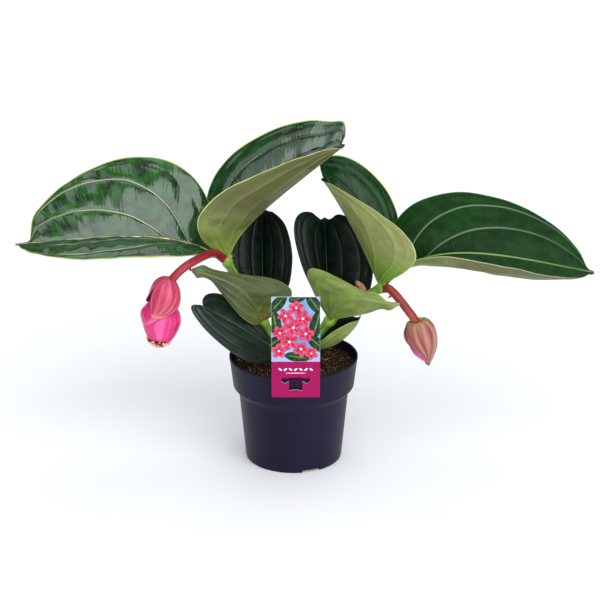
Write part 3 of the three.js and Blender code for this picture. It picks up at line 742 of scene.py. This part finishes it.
def buildStems():
    materials = [stemFinish(), hairFinish()]
    for name, stem in stems.items():
        random.seed(name)
        bm = bmesh.new()
        joint = bm.verts.layers.float.new("joint")
        line = throughPoints(stem["line"], stemShape["steps"])
        joints = [Vector(place) for place in stem["joints"]]
        nearness = [max(hump((centre - place).length, stemShape["swelling"]) for place in joints)
                    for centre in line]
        radii = [mix(stemShape["radius"], stemShape["joint"], near) for near in nearness]
        # the stem ends in a low dome above its top joint
        radii[-1] *= 0.8
        roundTube(bm, line, radii, stemShape["segments"],
                  lambda angle, share: stemShape["corner"] * math.cos(4 * angle) + 0.02 * math.sin(9 * angle),
                  (joint, nearness))
        for place in joints:
            dome = bmesh.ops.create_icosphere(bm, subdivisions=3, radius=stemShape["joint"] * 0.98)["verts"]
            bmesh.ops.translate(bm, vec=place, verts=dome)
            for vert in dome:
                vert[joint] = 1
                vert.co += (vert.co - place).normalized() * noise.noise(vert.co / 3) * stemShape["scar"]
        faces = len(bm.faces)
        for place in joints:
            for _ in range(stemShape["hairs"]):
                addHair(bm, place)
        bm.faces.ensure_lookup_table()
        for face in bm.faces[faces:]:
            face.material_index = 1
        finishPiece(name + "_stalk", bm, materials, replaced=[name])
    print("stems built")


# Flower stalks, from the top leaf joint to inside the bloom or the bud.
stalks = {
    "stalk_left": {
        "line": [(-75, 0, 229), (-83, -14, 239), (-91, -34, 244), (-99, -50, 245), (-107, -62, 244),
                 (-115, -69, 240), (-122, -73, 234), (-127, -74, 227), (-130, -74, 219)],
        "deep": "740a1c", "fresh": "b21c34", "fleck": "d04a52",
    },
    "stalk_right": {
        "line": [(98, -1, 195), (103.5, -11, 197), (112.5, -19, 189.5), (122, -25, 178.5),
                 (129.5, -27, 168), (134, -27, 155)],
        "deep": "762420", "fresh": "a83c32", "fleck": "c2662f",
    },
}
stalkShape = {"radius": 4.4, "flutes": 5, "flute": 0.045, "steps": 72, "segments": 28, "foot": 0.22}
# what is left of a fallen flower stalk
stub = {
    "on": "stalk_right", "root": (107, -15, 193.5), "end": (100.8, -18.5, 190.5),
    "radii": (1.9, 1.6, 1.2, 0.5),
}


def stalkFinish(name, stalk):
    startFinish(name + "Skin", 0.45, {"Coat Weight": 0.1})
    skin = readAttribute("skin")[0]
    streaks = cloud(skin, 4, 3, (1, 1, 0.12))
    flecks = cloud(skin, 12, 2, (1, 1, 0.7))
    tone = blend(soften(streaks, 0.3, 0.7), stalk["deep"], stalk["fresh"])
    tone = blend(soften(flecks, 0.6, 0.72, 0, 0.6), tone, stalk["fleck"])
    return endFinish(tone, addUp((streaks, 0.8), (flecks, 0.4)), 0.35, 0.5)


def buildStalks():
    for name, stalk in stalks.items():
        bm = bmesh.new()
        line = throughPoints(stalk["line"], stalkShape["steps"])
        radii = [stalkShape["radius"] * (1 + 0.05 * noise.noise(centre / 9) + stalkShape["foot"] * hump(k, 7))
                 for k, centre in enumerate(line)]
        flute, flutes = stalkShape["flute"], stalkShape["flutes"]
        roundTube(bm, line, radii, stalkShape["segments"],
                  lambda angle, share: flute * math.cos(flutes * angle + 1.5 * share))
        if name == stub["on"]:
            root, end = Vector(stub["root"]), Vector(stub["end"])
            last = len(stub["radii"]) - 1
            roundTube(bm, [root.lerp(end, k / last) for k in range(last + 1)], stub["radii"], 10)
        finishPiece(name + "_skin", bm, [stalkFinish(name, stalk)], replaced=[name])
    print("flower stalks built")


# Bracts: patches of a turned form round the axis that a bloom hangs on. A profile
# lists (distance down the axis, radius), a side (degrees, power, root, share), a piece
# (profile, azimuth at the top and the point, both sides, folds, height of ridges, lift).
bloomPlace = {"top": (-130, -74, 234), "lean": 8}
budPlace = {"top": (132, -27, 167), "lean": -13}
upperProfile = [(1, 4.6), (2.6, 7.6), (6, 10.8), (12, 14), (20, 16.4)]
longProfile = upperProfile + [(28, 17.8), (34, 19.6), (39, 22.8)]
shortProfile = upperProfile + [(28, 18.4), (36, 20.6)]
wideProfile = [(17, 1.8), (20, 6.8), (25, 12), (30, 15.2), (35, 18.6), (40, 21.6), (45, 22), (51, 19.8)]
narrowProfile = [(17, 1.8), (20, 5.6), (25, 9.6), (31, 12.6), (38, 15), (44, 15.4), (50, 14)]
cupProfile = [(22, 1.8), (26, 7), (32, 12.8), (39, 17.4), (46, 19.3), (54, 18.4), (60, 16.6), (66, 14.5)]
budProfile = [(0.8, 4.6), (-0.2, 8), (1.4, 11.6), (9, 15.6), (20, 16.4), (31, 14.2), (41, 9), (47.5, 4.6),
              (51.5, 2.2)]
backSide, looseSide = (84, 4, 0.75, 1), (80, 4, 0.6, 0.99)
cupSide, budSide = (84, 7, 0.5, 0.96), (80, 7, 0.6, 1)
bracts = {
    "bloom_outer_bracts": {
        "place": bloomPlace, "finish": "coralBract", "slot": "coral_bract", "pieces": [
            (longProfile, (-54, -112), ((100, 2.7, 1, 1), (84, 2.3, 0.95, 1)), 5, 0.3, -0.3),
            (shortProfile, (126, 120), (backSide, backSide), 4, 0.4, -0.3),
        ],
    },
    "bloom_inner_bracts": {
        "place": bloomPlace, "finish": "pinkBract", "slot": "pink_bract", "pieces": [
            (wideProfile, (-172, -166), (looseSide, looseSide), 2, 0.25, -1.2),
            (narrowProfile, (8, 14), (looseSide, looseSide), 2, 0.25, -1.2),
            (cupProfile, (-82, -82), (cupSide, cupSide), 2, 0.22, 0),
            (cupProfile, (98, 98), (cupSide, cupSide), 2, 0.22, 0),
        ],
    },
    "bud_outer_bracts": {
        "place": budPlace, "finish": "dustyBract", "slot": "dusty_bract", "pieces": [
            (budProfile, (-62, -75), ((100, 3, 3, 1), budSide), 4, 0.8, 0.3),
            (budProfile, (120, 105), (budSide, (70, 3, 3, 1)), 4, 0.8, 0.3),
        ],
    },
}
petal = {
    "thickness": 0.9, "rows": 44, "columns": 56,
    "point": 2.5,  # half width in degrees that is left at the point
    "sway": 0.13, "uneven": 1.4, "dents": 0.35,  # how far the ridges wander and vary
}
capProfile = [(0, 0.4), (2, 0.3), (5, -0.8), (6.6, -2), (7.2, -3.4), (6.6, -4.6), (4.6, -5), (0, -5)]
caps = {
    "bloom_cap": {"place": bloomPlace, "tones": ("a8283c", "c84858"), "slot": "coral_bract"},
    "bud_cap": {"place": budPlace, "tones": ("8c5a3a", "a8824e"), "slot": "dusty_bract"},
}
spindle = {
    "profile": [(0, -49), (2.2, -46.8), (4.6, -44.4), (7.4, -41), (10.7, -36), (12.6, -31), (13.6, -26),
                (13.9, -20), (13.6, -17), (13.2, -14.4), (0, -14.2)],
    "steps": 72, "top": -14, "length": 35, "pleats": 6, "pleatDepth": 0.035,
}


def hangingMatrix(place):
    return Matrix.Translation(place["top"]) @ turned(place["lean"], "Y")


def addBract(bm, bract, matrix, mark):
    profile, azimuth, sides, folds, ridges, lift = bract
    place = vectorLayer(bm, "blade")
    curve = throughPoints([(down, radius, 0) for down, radius in profile], petal["rows"])
    sheet = bmesh.ops.create_grid(bm, x_segments=petal["rows"], y_segments=petal["columns"], size=1)["verts"]
    for vert in sheet:
        u, v = (vert.co.x + 1) / 2, vert.co.y
        down, radius = curve[round(u * petal["rows"])].xy
        spread, power, root, share = sides[0 if v < 0 else 1]
        reach = petal["point"] + spread * max(1 - (share * u) ** power, 0) ** root
        angle = math.radians(mix(*azimuth, u ** 3) + v * reach)
        closing = math.sin(math.pi * u) ** 0.7
        sway = v + petal["sway"] * noise.noise(Vector((u * 2, v * 2, mark * 3.7)))
        fold = math.cos(sway * folds * math.pi)
        fold += petal["uneven"] * noise.noise(Vector((u * 1.3, v * 8, mark * 5.3)))
        fold *= ridges * closing
        fold += petal["dents"] * noise.noise(Vector((u * 5, v * 3, mark * 4.1)))
        vert[place] = (u, v, mark)
        vert.co = matrix @ around(angle, radius + fold + lift * v * v * u, -down)


# Deep and fresh colour, the pale ridge colour (own streaks and painted highlight), the groove colour
# (painted shade), top and tip, then the share of the pale ridges, of the painted groove shade, how far
# down the top's colour reaches, its share, the tip's share, roughness, folds.
bractTones = {
    "coralBract": ("a82448", "d04266", "e27e86", "7c0c2c", "a01a3e", "e6a292",
                   0.3, 0.35, 0.16, 0.6, 0.5, 0.42, 5),
    "pinkBract": ("c81a62", "e43480", "f672b8", "9c0c40", "a01040", "d01c60",
                  0.6, 0.25, 0.16, 0.9, 0.5, 0.38, 2),
    "dustyBract": ("8e4644", "b06a60", "c9a079", "662432", "a89a58", "6a1420",
                   0.7, 0.85, 0.42, 1.0, 0.9, 0.5, 4),
}


def bractFinish(name, tones):
    deep, fresh, paleAndHighlight, dark, top, tip, *shares, roughness, folds = tones
    paleAndHighlightShare, grooveShadeShare, topReach, topShare, tipShare = shares
    startFinish(name, roughness, {"Coat Weight": 0.12, "Coat Roughness": 0.3})
    sheet, u, v, _ = readAttribute("blade")
    # ridges run from the stalk to the point; pale streaks lie on them, partly the bract's own colour and
    # partly a painted highlight
    sway = calc("MULTIPLY_ADD", cloud(sheet, 1.6, 2), 0.22, v)
    wave = calc("COSINE", times(sway, math.pi * folds))
    ridge, groove = soften(wave, 0.1, 1.0), soften(wave, -0.75, -1.0)
    fibres = cloud(sheet, 5, 3, (0.8, 9, 1))
    tone = blend(soften(cloud(sheet, 3, 3, (1, 2, 1)), 0.3, 0.7), deep, fresh)
    # painted highlight along the ridges, growing towards the point, mixed with the bract's own pale streaks
    tone = blend(times(ridge, soften(u, 0.15, 0.85, 0.1, paleAndHighlightShare)), tone, paleAndHighlight)
    tone = blend(soften(fibres, 0.5, 0.75, 0, 0.35), tone, deep)
    # painted shade in the grooves between the ridges
    tone = blend(times(groove, grooveShadeShare), tone, dark)
    tone = blend(soften(u, topReach, 0.0, 0, topShare), tone, top)
    tone = blend(soften(u, 0.88, 0.96, 0, tipShare), tone, tip)
    return endFinish(tone, addUp((fibres, 0.6), (ridge, 0.5)), 0.35, 0.5)


def capFinish(name, low, high):
    startFinish(name, 0.5)
    patches = cloud(objectPlace(), 260, 3)
    return endFinish(blend(soften(patches, 0.3, 0.7), low, high), patches, 0.3)


def buildBracts():
    finishes = {name: bractFinish(name, tones) for name, tones in bractTones.items()}
    for name, group in bracts.items():
        bm = bmesh.new()
        for k, bract in enumerate(group["pieces"]):
            addBract(bm, bract, hangingMatrix(group["place"]), k)
        materials = [finishes[group["finish"]]]
        piece = finishPiece(name + "_petals", bm, materials, replaced=[name])
        shell = piece.modifiers.new("bractThickness", "SOLIDIFY")
        shell.thickness = petal["thickness"] * mm
        shell.offset = 0
    for name, cap in caps.items():
        bm = bmesh.new()
        turnedSolid(bm, capProfile, 32, hangingMatrix(cap["place"]))
        finishPiece(name, bm, [capFinish(name + "Skin", *cap["tones"])])
    # the closed inner bracts of the bud, folded lengthwise
    bm = bmesh.new()
    skin = vectorLayer(bm, "blade")
    turnedSolid(bm, spindle["profile"], spindle["steps"])
    for vert in bm.verts:
        turn = math.atan2(vert.co.y, vert.co.x) / math.pi
        vert[skin] = ((spindle["top"] - vert.co.z) / spindle["length"], turn * 3, 0)
    pleat(bm.verts, spindle["pleatDepth"], spindle["pleats"])
    bmesh.ops.transform(bm, matrix=hangingMatrix(budPlace), verts=bm.verts)
    finishPiece("bud_inner_spindle", bm, [finishes["pinkBract"]], replaced=["bud_inner_bracts"])
    print("bracts built")


# The flower buds at the mouth of the bloom, packed on a dome.
beads = {
    "count": 64, "radius": (1.15, 1.9), "point": 0.28, "dome": (10.3, 10.3, 7.5), "centre": -67.5,
    "reach": 11.7, "drop": 8.4, "goldenTurn": 2.39996, "seed": 4,
}


def beadFinish():
    startFinish("flowerBud", 0.4, {"Coat Weight": 0.2, "Coat Roughness": 0.3})
    place, tone = objectPlace(), readTone("tone")
    patches = cloud(place, 420, 2)
    flesh = blend(soften(tone, 0.1, 0.9), "dc8478", "efcdae")
    flesh = blend(soften(patches, 0.55, 0.75, 0, 0.7), flesh, "d46a70")
    # a few are still closed and dark
    flesh = blend(soften(tone, 0.16, 0.1), flesh, "7d1222")
    return endFinish(flesh, patches, 0.2, 0.4)


def buildBeads():
    random.seed(beads["seed"])
    bm = bmesh.new()
    tone = bm.verts.layers.float.new("tone")
    hub = bmesh.ops.create_icosphere(bm, subdivisions=3, radius=1)["verts"]
    bmesh.ops.scale(bm, vec=beads["dome"], verts=hub)
    bmesh.ops.translate(bm, vec=(0, 0, beads["centre"]), verts=hub)
    for k in range(beads["count"]):
        height = -0.04 - 0.94 * (k + 0.5) / beads["count"]
        across = math.sqrt(1 - height * height)
        angle = k * beads["goldenTurn"]
        radius = mix(*beads["radius"], random.random())
        shade = random.random()
        ball = bmesh.ops.create_icosphere(bm, subdivisions=2, radius=radius)["verts"]
        for vert in ball:
            # each bud comes to a blunt point
            vert.co *= 1 + beads["point"] * max(vert.co.z / radius, 0) ** 3
            vert[tone] = shade
        spot = around(angle, beads["reach"] * across, beads["centre"] - 0.5 + beads["drop"] * height)
        matrix = placed(spot, around(angle, across, height * 0.85).normalized())
        bmesh.ops.transform(bm, matrix=matrix, verts=ball)
    bmesh.ops.transform(bm, matrix=hangingMatrix(bloomPlace), verts=bm.verts)
    finishPiece("bloom_beads", bm, [beadFinish()], replaced=["bloom_flower_buds"])
    print("flower buds built")


# A young shoot below the top pair of the right stem.
shoot = {
    "profile": [(0, 16), (1, 15.6), (2, 14.5), (3.2, 12.4), (4, 10), (4.4, 7.4), (4.4, 5), (3.8, 2.4),
                (3, 0.4), (0, 0)],
    "lean": -35, "root": (76, 0, 190), "pleats": 5, "pleatDepth": 0.07, "twist": 0.15,
    "tones": ("7c4030", "b88068"),
}


def buildShoot():
    bm = bmesh.new()
    turnedSolid(bm, shoot["profile"], 40)
    pleat(bm.verts, shoot["pleatDepth"], shoot["pleats"], shoot["twist"])
    matrix = Matrix.Translation(shoot["root"]) @ turned(shoot["lean"], "Y")
    bmesh.ops.transform(bm, matrix=matrix, verts=bm.verts)
    skin = capFinish("youngShoot", *shoot["tones"])
    finishPiece("sprout_tip", bm, [skin], replaced=["sprout"])
    print("shoot built")


# The nursery pot, turned from its outer and inner profiles of (radius, height).
pot = {
    "outer": [(0, 0), (50.7, 0), (51.6, 0.2), (52.3, 0.8), (52.7, 2), (59.7, 76), (60.1, 77.3),
              (65.2, 83.6), (65.9, 84.6), (66.1, 85.8), (69.5, 114), (69.75, 115.2), (70, 115.7),
              (70, 117.3), (69.8, 117.8), (69.4, 118), (0, 118)],
    "inner": [(0, 2.4), (51, 2.4), (58.1, 78), (64.3, 86), (68, 115), (68.1, 117.4), (68.4, 119), (0, 119)],
    "steps": 112, "wall": 1.7, "drainRadius": 4, "drainReach": 34,
    # channels that cross the edge of the base, the first one turned from the right
    "channels": 3, "turn": -68, "width": 21, "height": 5.5, "inward": 13, "length": 50, "rounding": 1.2,
}


def potFinish():
    startFinish("potPlastic", 0.4, {"Specular IOR Level": 0.12})
    place = objectPlace()
    flow = cloud(place, 18, 3, (1, 1, 0.3))
    scuffs = cloud(place, 60, 5, (1, 1, 3.5))
    tone = blend(soften(flow, 0.3, 0.7), "151226", "1c182f")
    tone = blend(soften(scuffs, 0.66, 0.78, 0, 0.3), tone, "2e2b42")
    height = addUp((cloud(place, 1400, 2), 0.5), (flow, 0.8))
    return endFinish(tone, height, 0.06, 0.4, soften(flow, 0.3, 0.7, 0.38, 0.48))


def turnToChannel(bm, k):
    matrix = turned(pot["turn"] + 360 / pot["channels"] * k, "Z", 3)
    bmesh.ops.rotate(bm, cent=(0, 0, 0), matrix=matrix, verts=bm.verts)


def channelBoxes(wall):
    made = []
    for k in range(pot["channels"]):
        bm = bmesh.new()
        bmesh.ops.create_cube(bm, size=1)
        height = pot["height"] + wall + 2
        centre = (pot["inward"] + pot["length"] / 2 - wall, 0, height / 2 - 2)
        setInPlace(bm, (pot["length"], pot["width"] + 2 * wall, height), None, centre)
        turnToChannel(bm, k)
        edges = [edge for edge in bm.edges if all(vert.co.z > height / 2 - 2 for vert in edge.verts)]
        roundOff(bm, edges, pot["rounding"], 2)
        made.append(meshObject("channel", bm))
    return made


def turnedObject(name, profile):
    bm = bmesh.new()
    turnedSolid(bm, profile, pot["steps"])
    return meshObject(name, bm)


def buildPot():
    cavity = meshObject("cavity", cutAway(turnedObject("inside", pot["inner"]), channelBoxes(pot["wall"])))
    drains = []
    for k in range(pot["channels"]):
        bm = bmesh.new()
        radius = pot["drainRadius"]
        bmesh.ops.create_cone(bm, cap_ends=True, segments=24, radius1=radius, radius2=radius, depth=30)
        bmesh.ops.translate(bm, vec=(pot["drainReach"], 0, 0), verts=bm.verts)
        turnToChannel(bm, k)
        drains.append(meshObject("drain", bm))
    result = cutAway(turnedObject("outside", pot["outer"]), [cavity, *channelBoxes(0), *drains])
    piece = finishPiece("nursery_pot", result, [potFinish()], replaced=["pot"])
    piece.data.set_sharp_from_angle(angle=math.radians(32))
    print("pot built")


# Potting soil with crumbs, bark, fibres and perlite on its top.
soil = {
    "profile": [(0, 2.8), (51, 2.8), (57.8, 78), (63.9, 86.2), (66.4, 106)],
    "top": 107.5, "topRadius": 66.6, "rings": 46, "steps": 132, "relief": 1.28, "lump": 0.9,
    "scatterRadius": 64.5, "crumbs": 1500, "bark": 110, "fibres": 420, "perlite": 14, "seed": 11,
    "crumbSize": (0.5, 1.7), "perliteSize": (0.7, 1.5), "fibreLength": (3, 9),
    "fibreRadius": (0.14, 0.3), "fibreReach": 64,
}


def soilHeight(x, y):
    lumps = math.sin(0.23 * x + 1.1) * math.cos(0.19 * y - 0.4) + 0.5 * math.sin(0.61 * x - 0.8 * y)
    fine = noise.noise(Vector((x / 5, y / 5, 0))) + 0.6 * noise.noise(Vector((x / 2, y / 2, 3)))
    return soil["top"] + soil["relief"] * lumps - 0.012 * math.hypot(x, y) + soil["lump"] * fine


def soilFinish():
    startFinish("pottingSoil", 0.92, {"Specular IOR Level": 0.25})
    place, tone = objectPlace(), readTone("tone")
    speckle = cloud(place, 520, 4)
    earth = blend(soften(speckle, 0.35, 0.68), "0b0704", "352211")
    earth = blend(soften(cloud(place, 60, 3), 0.35, 0.7, 0, 0.5), earth, "1d120b")
    # bark and then fibres have higher tones
    earth = blend(soften(tone, 0.35, 0.8, 0, 0.9), earth, "6a4428")
    earth = blend(soften(tone, 0.84, 0.97), earth, "ab8658")
    return endFinish(earth, speckle, 0.8, 0.9)


def perliteFinish():
    startFinish("perlite", 0.85)
    pores = cloud(objectPlace(), 900, 3)
    return endFinish(blend(pores, "b9ad98", "efe8da"), pores, 0.3, 0.7)


def scatterSpot():
    reach = soil["scatterRadius"] * math.sqrt(random.random())
    angle = random.uniform(0, 2 * math.pi)
    return reach * math.cos(angle), reach * math.sin(angle)


def dropCrumb(bm, kind, sink, stretch, shade):
    part = bmesh.new()
    tone = part.verts.layers.float.new("tone")
    if kind == "cube":
        bmesh.ops.create_cube(part, size=1)
    else:
        bmesh.ops.create_icosphere(part, subdivisions=1, radius=1)
    x, y = scatterSpot()
    for vert in part.verts:
        vert.co *= 1 + 0.3 * noise.noise(vert.co * 1.7 + Vector((x, y, 0)))
        vert[tone] = shade
    turn = Matrix.Rotation(random.uniform(0, 6.3), 3, "Z")
    tilt = Matrix.Rotation(random.uniform(-0.6, 0.6), 3, "X")
    setInPlace(part, stretch, turn @ tilt, (x, y, soilHeight(x, y) + sink))
    addPart(bm, part)


def dropFibre(bm):
    part = bmesh.new()
    tone = part.verts.layers.float.new("tone")
    x, y = scatterSpot()
    angle = random.uniform(0, 6.3)
    length = random.uniform(*soil["fibreLength"])
    bend = random.uniform(-1.5, 1.5)
    points = []
    for k in range(5):
        spot = Vector((x, y, 0)) + around(angle, length * (k / 4 - 0.5))
        spot += around(angle + math.pi / 2, bend * math.sin(k * 0.8))
        # it stays inside the rim
        spot *= min(1, soil["fibreReach"] / max(spot.length, 1))
        spot.z = soilHeight(spot.x, spot.y) + 0.6 + 0.7 * math.sin(k * 1.3 + x)
        points.append(spot)
    roundTube(part, points, [random.uniform(*soil["fibreRadius"])] * 5, 5)
    shade = random.uniform(0.75, 1)
    for vert in part.verts:
        vert[tone] = shade
    addPart(bm, part)


def buildSoil():
    random.seed(soil["seed"])
    bm = bmesh.new()
    tone = bm.verts.layers.float.new("tone")
    surface = [(soil["topRadius"] * (1 - k / soil["rings"]), soil["top"]) for k in range(soil["rings"] + 1)]
    turnedSolid(bm, soil["profile"] + surface, soil["steps"])
    for vert in bm.verts:
        if vert.co.z > soil["top"] - 0.5:
            vert.co.z = soilHeight(vert.co.x, vert.co.y)
            vert[tone] = 0.2 + 0.2 * noise.noise(vert.co / 6)
    for _ in range(soil["crumbs"]):
        size = random.uniform(*soil["crumbSize"])
        stretch = [size * random.uniform(0.7, 1.3) for _ in range(3)]
        dropCrumb(bm, "icosphere", size * 0.2, stretch, random.uniform(0, 0.75))
    for _ in range(soil["bark"]):
        stretch = (random.uniform(2, 5.5), random.uniform(1, 2.2), random.uniform(0.4, 1))
        dropCrumb(bm, "cube", 0.5, stretch, random.uniform(0.45, 0.88))
    for _ in range(soil["fibres"]):
        dropFibre(bm)
    for _ in range(soil["perlite"]):
        size = random.uniform(*soil["perliteSize"])
        dropCrumb(bm, "icosphere", size * 0.35, (size * 1.1, size * 0.9, size * 0.8), 2)
    for face in bm.faces:
        face.material_index = 1 if face.verts[0][tone] > 1.5 else 0
    materials = [soilFinish(), perliteFinish()]
    finishPiece("soil_bed", bm, materials, replaced=["soil"], smooth=False)
    print("soil built")


# The plant tag: a card with a T-shaped tongue cut free and bent over the rim.
tag = {
    "left": -23, "right": 28, "bottom": 98, "top": 211, "thickness": 0.8, "back": -70.3, "corner": 1.5,
    "slotCentre": 2.5, "slotTop": 120.2, "wingWidth": 30, "wingHeight": 6.5, "tongueWidth": 14,
    "tongueLength": 14.5,
    "bend": [(-0.4, 121.1), (0.5, 119.8), (2.1, 119.1), (3.4, 118.8), (4.3, 117), (4.4, 114), (4.4, 110)],
    "bandTop": 138.6, "inset": 0.3, "inkStep": 0.005,
    # a bouquet: blossoms (x, z, radius) over large leaves (x, z, length, width, degrees)
    "blossoms": [(3, 199, 8), (-8, 190, 8.5), (10, 187, 9.5), (0, 177, 10.5), (-14, 171, 8), (13, 170, 9),
                 (-4, 161, 9.5), (8, 153, 8.5), (-15, 151, 8.5), (19, 148, 7)],
    "sprigs": [(-16, 203, 26, 12, 50), (22, 203, 27, 12, -55), (-19, 182, 30, 13, -80), (24, 180, 34, 14, 75),
               (26, 158, 28, 13, -40), (-20, 160, 24, 12, 35), (4, 144, 26, 11, -8), (4, 209, 18, 9, 15)],
    # a row of slanted strokes on the band, and the line under them (height, length, width)
    "strokes": {"count": 7, "pitch": 5.4, "z": 129.8, "length": 4.2, "width": 1.9, "slant": 35},
    "rule": (125.6, 22, 0.7),
}
inks = {
    "cardCore": ("d9d4d6", "efeaec"), "printedLeaf": ("132a1c", "2c4a26"),
    "printedPetal": ("c42850", "dc5474"), "printedStreak": ("8e1030", "a81c40"),
    "printedPale": ("f2dfe6", "fbf2f4"), "printedVein": ("4d6c3a", "6f8a4c"),
}
leafInk, petalInk, streakInk, paleInk, veinInk = range(2, 7)


def cardFinish():
    startFinish("printedCard", 0.4, {"Specular IOR Level": 0.15})
    place = objectPlace()
    height = addNode("SeparateXYZ", {0: place}).outputs[2]
    sky = blend(soften(cloud(place, 30, 2), 0.35, 0.65), "6f92c0", "9db6d6")
    band = blend(cloud(place, 80, 2), "96054e", "a20a58")
    edge = soften(height, (tag["bandTop"] - 0.1) * mm, (tag["bandTop"] + 0.1) * mm)
    return endFinish(blend(edge, band, sky), cloud(place, 900, 2), 0.02, 0.3)


def inkFinish(name, low, high):
    startFinish(name, 0.4, {"Specular IOR Level": 0.15})
    place = objectPlace()
    tone = blend(soften(cloud(place, 240, 3), 0.35, 0.65), low, high)
    return endFinish(tone, cloud(place, 900, 2), 0.02, 0.3)


def printShape(bm, x, z, length, width, degrees, layer, ink):
    # a thin oval of ink on the front of the card, cut off at the edges of the picture
    front = tag["back"] - tag["thickness"]
    oval = bmesh.new()
    bmesh.ops.create_cone(oval, cap_ends=True, segments=20, radius1=0.5, radius2=0.5, depth=0.02,
                          matrix=turned(90, "X"))
    spot = (x, front - tag["inkStep"] * (layer + 1), z)
    setInPlace(oval, (length, 1, width), turned(-degrees, "Y", 3), spot)
    floor = tag["bandTop"] if z > tag["bandTop"] else tag["bottom"]
    bounds = ((-1, 0, tag["left"]), (1, 0, tag["right"]), (0, 1, tag["top"]), (0, -1, floor))
    for right, up, limit in bounds:
        outward = Vector((right, 0, up))
        spot = outward * (limit * (right + up) - tag["inset"])
        geometry = oval.verts[:] + oval.edges[:] + oval.faces[:]
        cut = bmesh.ops.bisect_plane(oval, geom=geometry, plane_co=spot, plane_no=outward, clear_outer=True)
        if cut["geom_cut"]:
            edges = [edge for edge in oval.edges if len(edge.link_faces) == 1]
            bmesh.ops.holes_fill(oval, edges=edges, sides=0)
    for face in oval.faces:
        face.material_index = ink
    addPart(bm, oval)


def printBlossom(bm, x, z, radius, layer):
    for k in range(5):
        angle = 90 + 72 * k + 9 * layer
        # a petal and its streak: how far out, length and width as shares of the radius
        ovals = ((0.55, 0.95, 0.72, k, petalInk), (0.4, 0.5, 0.16, 5 + k, streakInk))
        for reach, length, width, own, ink in ovals:
            px, pz, _ = around(math.radians(angle), radius * reach)
            printShape(bm, x + px, z + pz, radius * length, radius * width, angle, layer + own, ink)
    printShape(bm, x, z, radius * 0.3, radius * 0.3, 0, layer + 10, paleInk)


def printFront(bm):
    for k, (x, z, length, width, degrees) in enumerate(tag["sprigs"]):
        printShape(bm, x, z, length, width, degrees, 2 * k, leafInk)
        printShape(bm, x, z, length * 0.86, width * 0.12, degrees, 2 * k + 1, veinInk)
    for k, (x, z, radius) in enumerate(tag["blossoms"]):
        printBlossom(bm, x, z, radius, 2 * len(tag["sprigs"]) + 11 * k)
    row = tag["strokes"]
    for k in range(row["count"]):
        x = tag["slotCentre"] + (k - (row["count"] - 1) / 2) * row["pitch"]
        slant = row["slant"] if k % 2 else -row["slant"]
        printShape(bm, x, row["z"], row["length"], row["width"], slant, 0, paleInk)
    printShape(bm, tag["slotCentre"], *tag["rule"], 0, 0, paleInk)


def cardBoard():
    front = tag["back"] - tag["thickness"]
    bm = bmesh.new()
    bmesh.ops.create_cube(bm, size=1)
    size = (tag["right"] - tag["left"], tag["thickness"], tag["top"] - tag["bottom"])
    centre = ((tag["left"] + tag["right"]) / 2, (tag["back"] + front) / 2, (tag["top"] + tag["bottom"]) / 2)
    setInPlace(bm, size, None, centre)
    corners = [edge for edge in bm.edges if abs(edge.verts[0].co.y - edge.verts[1].co.y) > 0.1]
    roundOff(bm, corners, tag["corner"], 4)
    board = meshObject("board", bm)
    # the slot: a bar with notched ends and a leg with a notched foot
    wing, leg = tag["wingWidth"] / 2, tag["tongueWidth"] / 2
    high, foot = tag["slotTop"], tag["slotTop"] - tag["tongueLength"]
    low = high - tag["wingHeight"] * 0.6
    half = [(wing, high), (wing, low), (wing - 3, high - tag["wingHeight"]), (leg, low), (leg, foot)]
    outline = half + [(0, foot + 1)] + [(-x, z) for x, z in reversed(half)]
    bm = bmesh.new()
    face = bm.faces.new([bm.verts.new((tag["slotCentre"] + x, front - 1, z)) for x, z in outline])
    grown = bmesh.ops.extrude_face_region(bm, geom=[face])["geom"]
    bmesh.ops.translate(bm, vec=(0, 3, 0), verts=only(bmesh.types.BMVert, grown))
    bmesh.ops.recalc_face_normals(bm, faces=bm.faces)
    return cutAway(board, [meshObject("slot", bm)])


def addTongue(bm, bend, span):
    # a strip that runs back from the slot and down inside the rim
    line = throughPoints([(0, y, z) for y, z in bend], 4 * (len(bend) - 1))
    start = tag["slotCentre"] - span / 2
    verts = [bm.verts.new((start, tag["back"] + point.y, point.z)) for point in line]
    edges = [bm.edges.new(pair) for pair in zip(verts, verts[1:])]
    strip = bmesh.ops.extrude_edge_only(bm, edges=edges)["geom"]
    bmesh.ops.translate(bm, vec=(span, 0, 0), verts=only(bmesh.types.BMVert, strip))
    faces = only(bmesh.types.BMFace, strip)
    thick = bmesh.ops.solidify(bm, geom=faces, thickness=tag["thickness"])["geom"]
    bmesh.ops.recalc_face_normals(bm, faces=only(bmesh.types.BMFace, thick))


def buildTag():
    bm = cardBoard()
    addTongue(bm, tag["bend"][:4], tag["wingWidth"])
    addTongue(bm, tag["bend"], tag["tongueWidth"])
    bm.normal_update()
    for face in bm.faces:
        # the front of the card and of its tongue are printed
        face.material_index = 0 if face.normal.y < -0.1 else 1
    printFront(bm)
    materials = [cardFinish()] + [inkFinish(name, *tones) for name, tones in inks.items()]
    piece = finishPiece("plant_tag", bm, materials, replaced=["tag"], smooth=False)
    piece.data.set_sharp_from_angle(angle=math.radians(35))
    print("tag built")


buildStudio()
buildLeaves()
buildStems()
buildStalks()
buildBracts()
buildBeads()
buildShoot()
buildPot()
buildSoil()
buildTag()
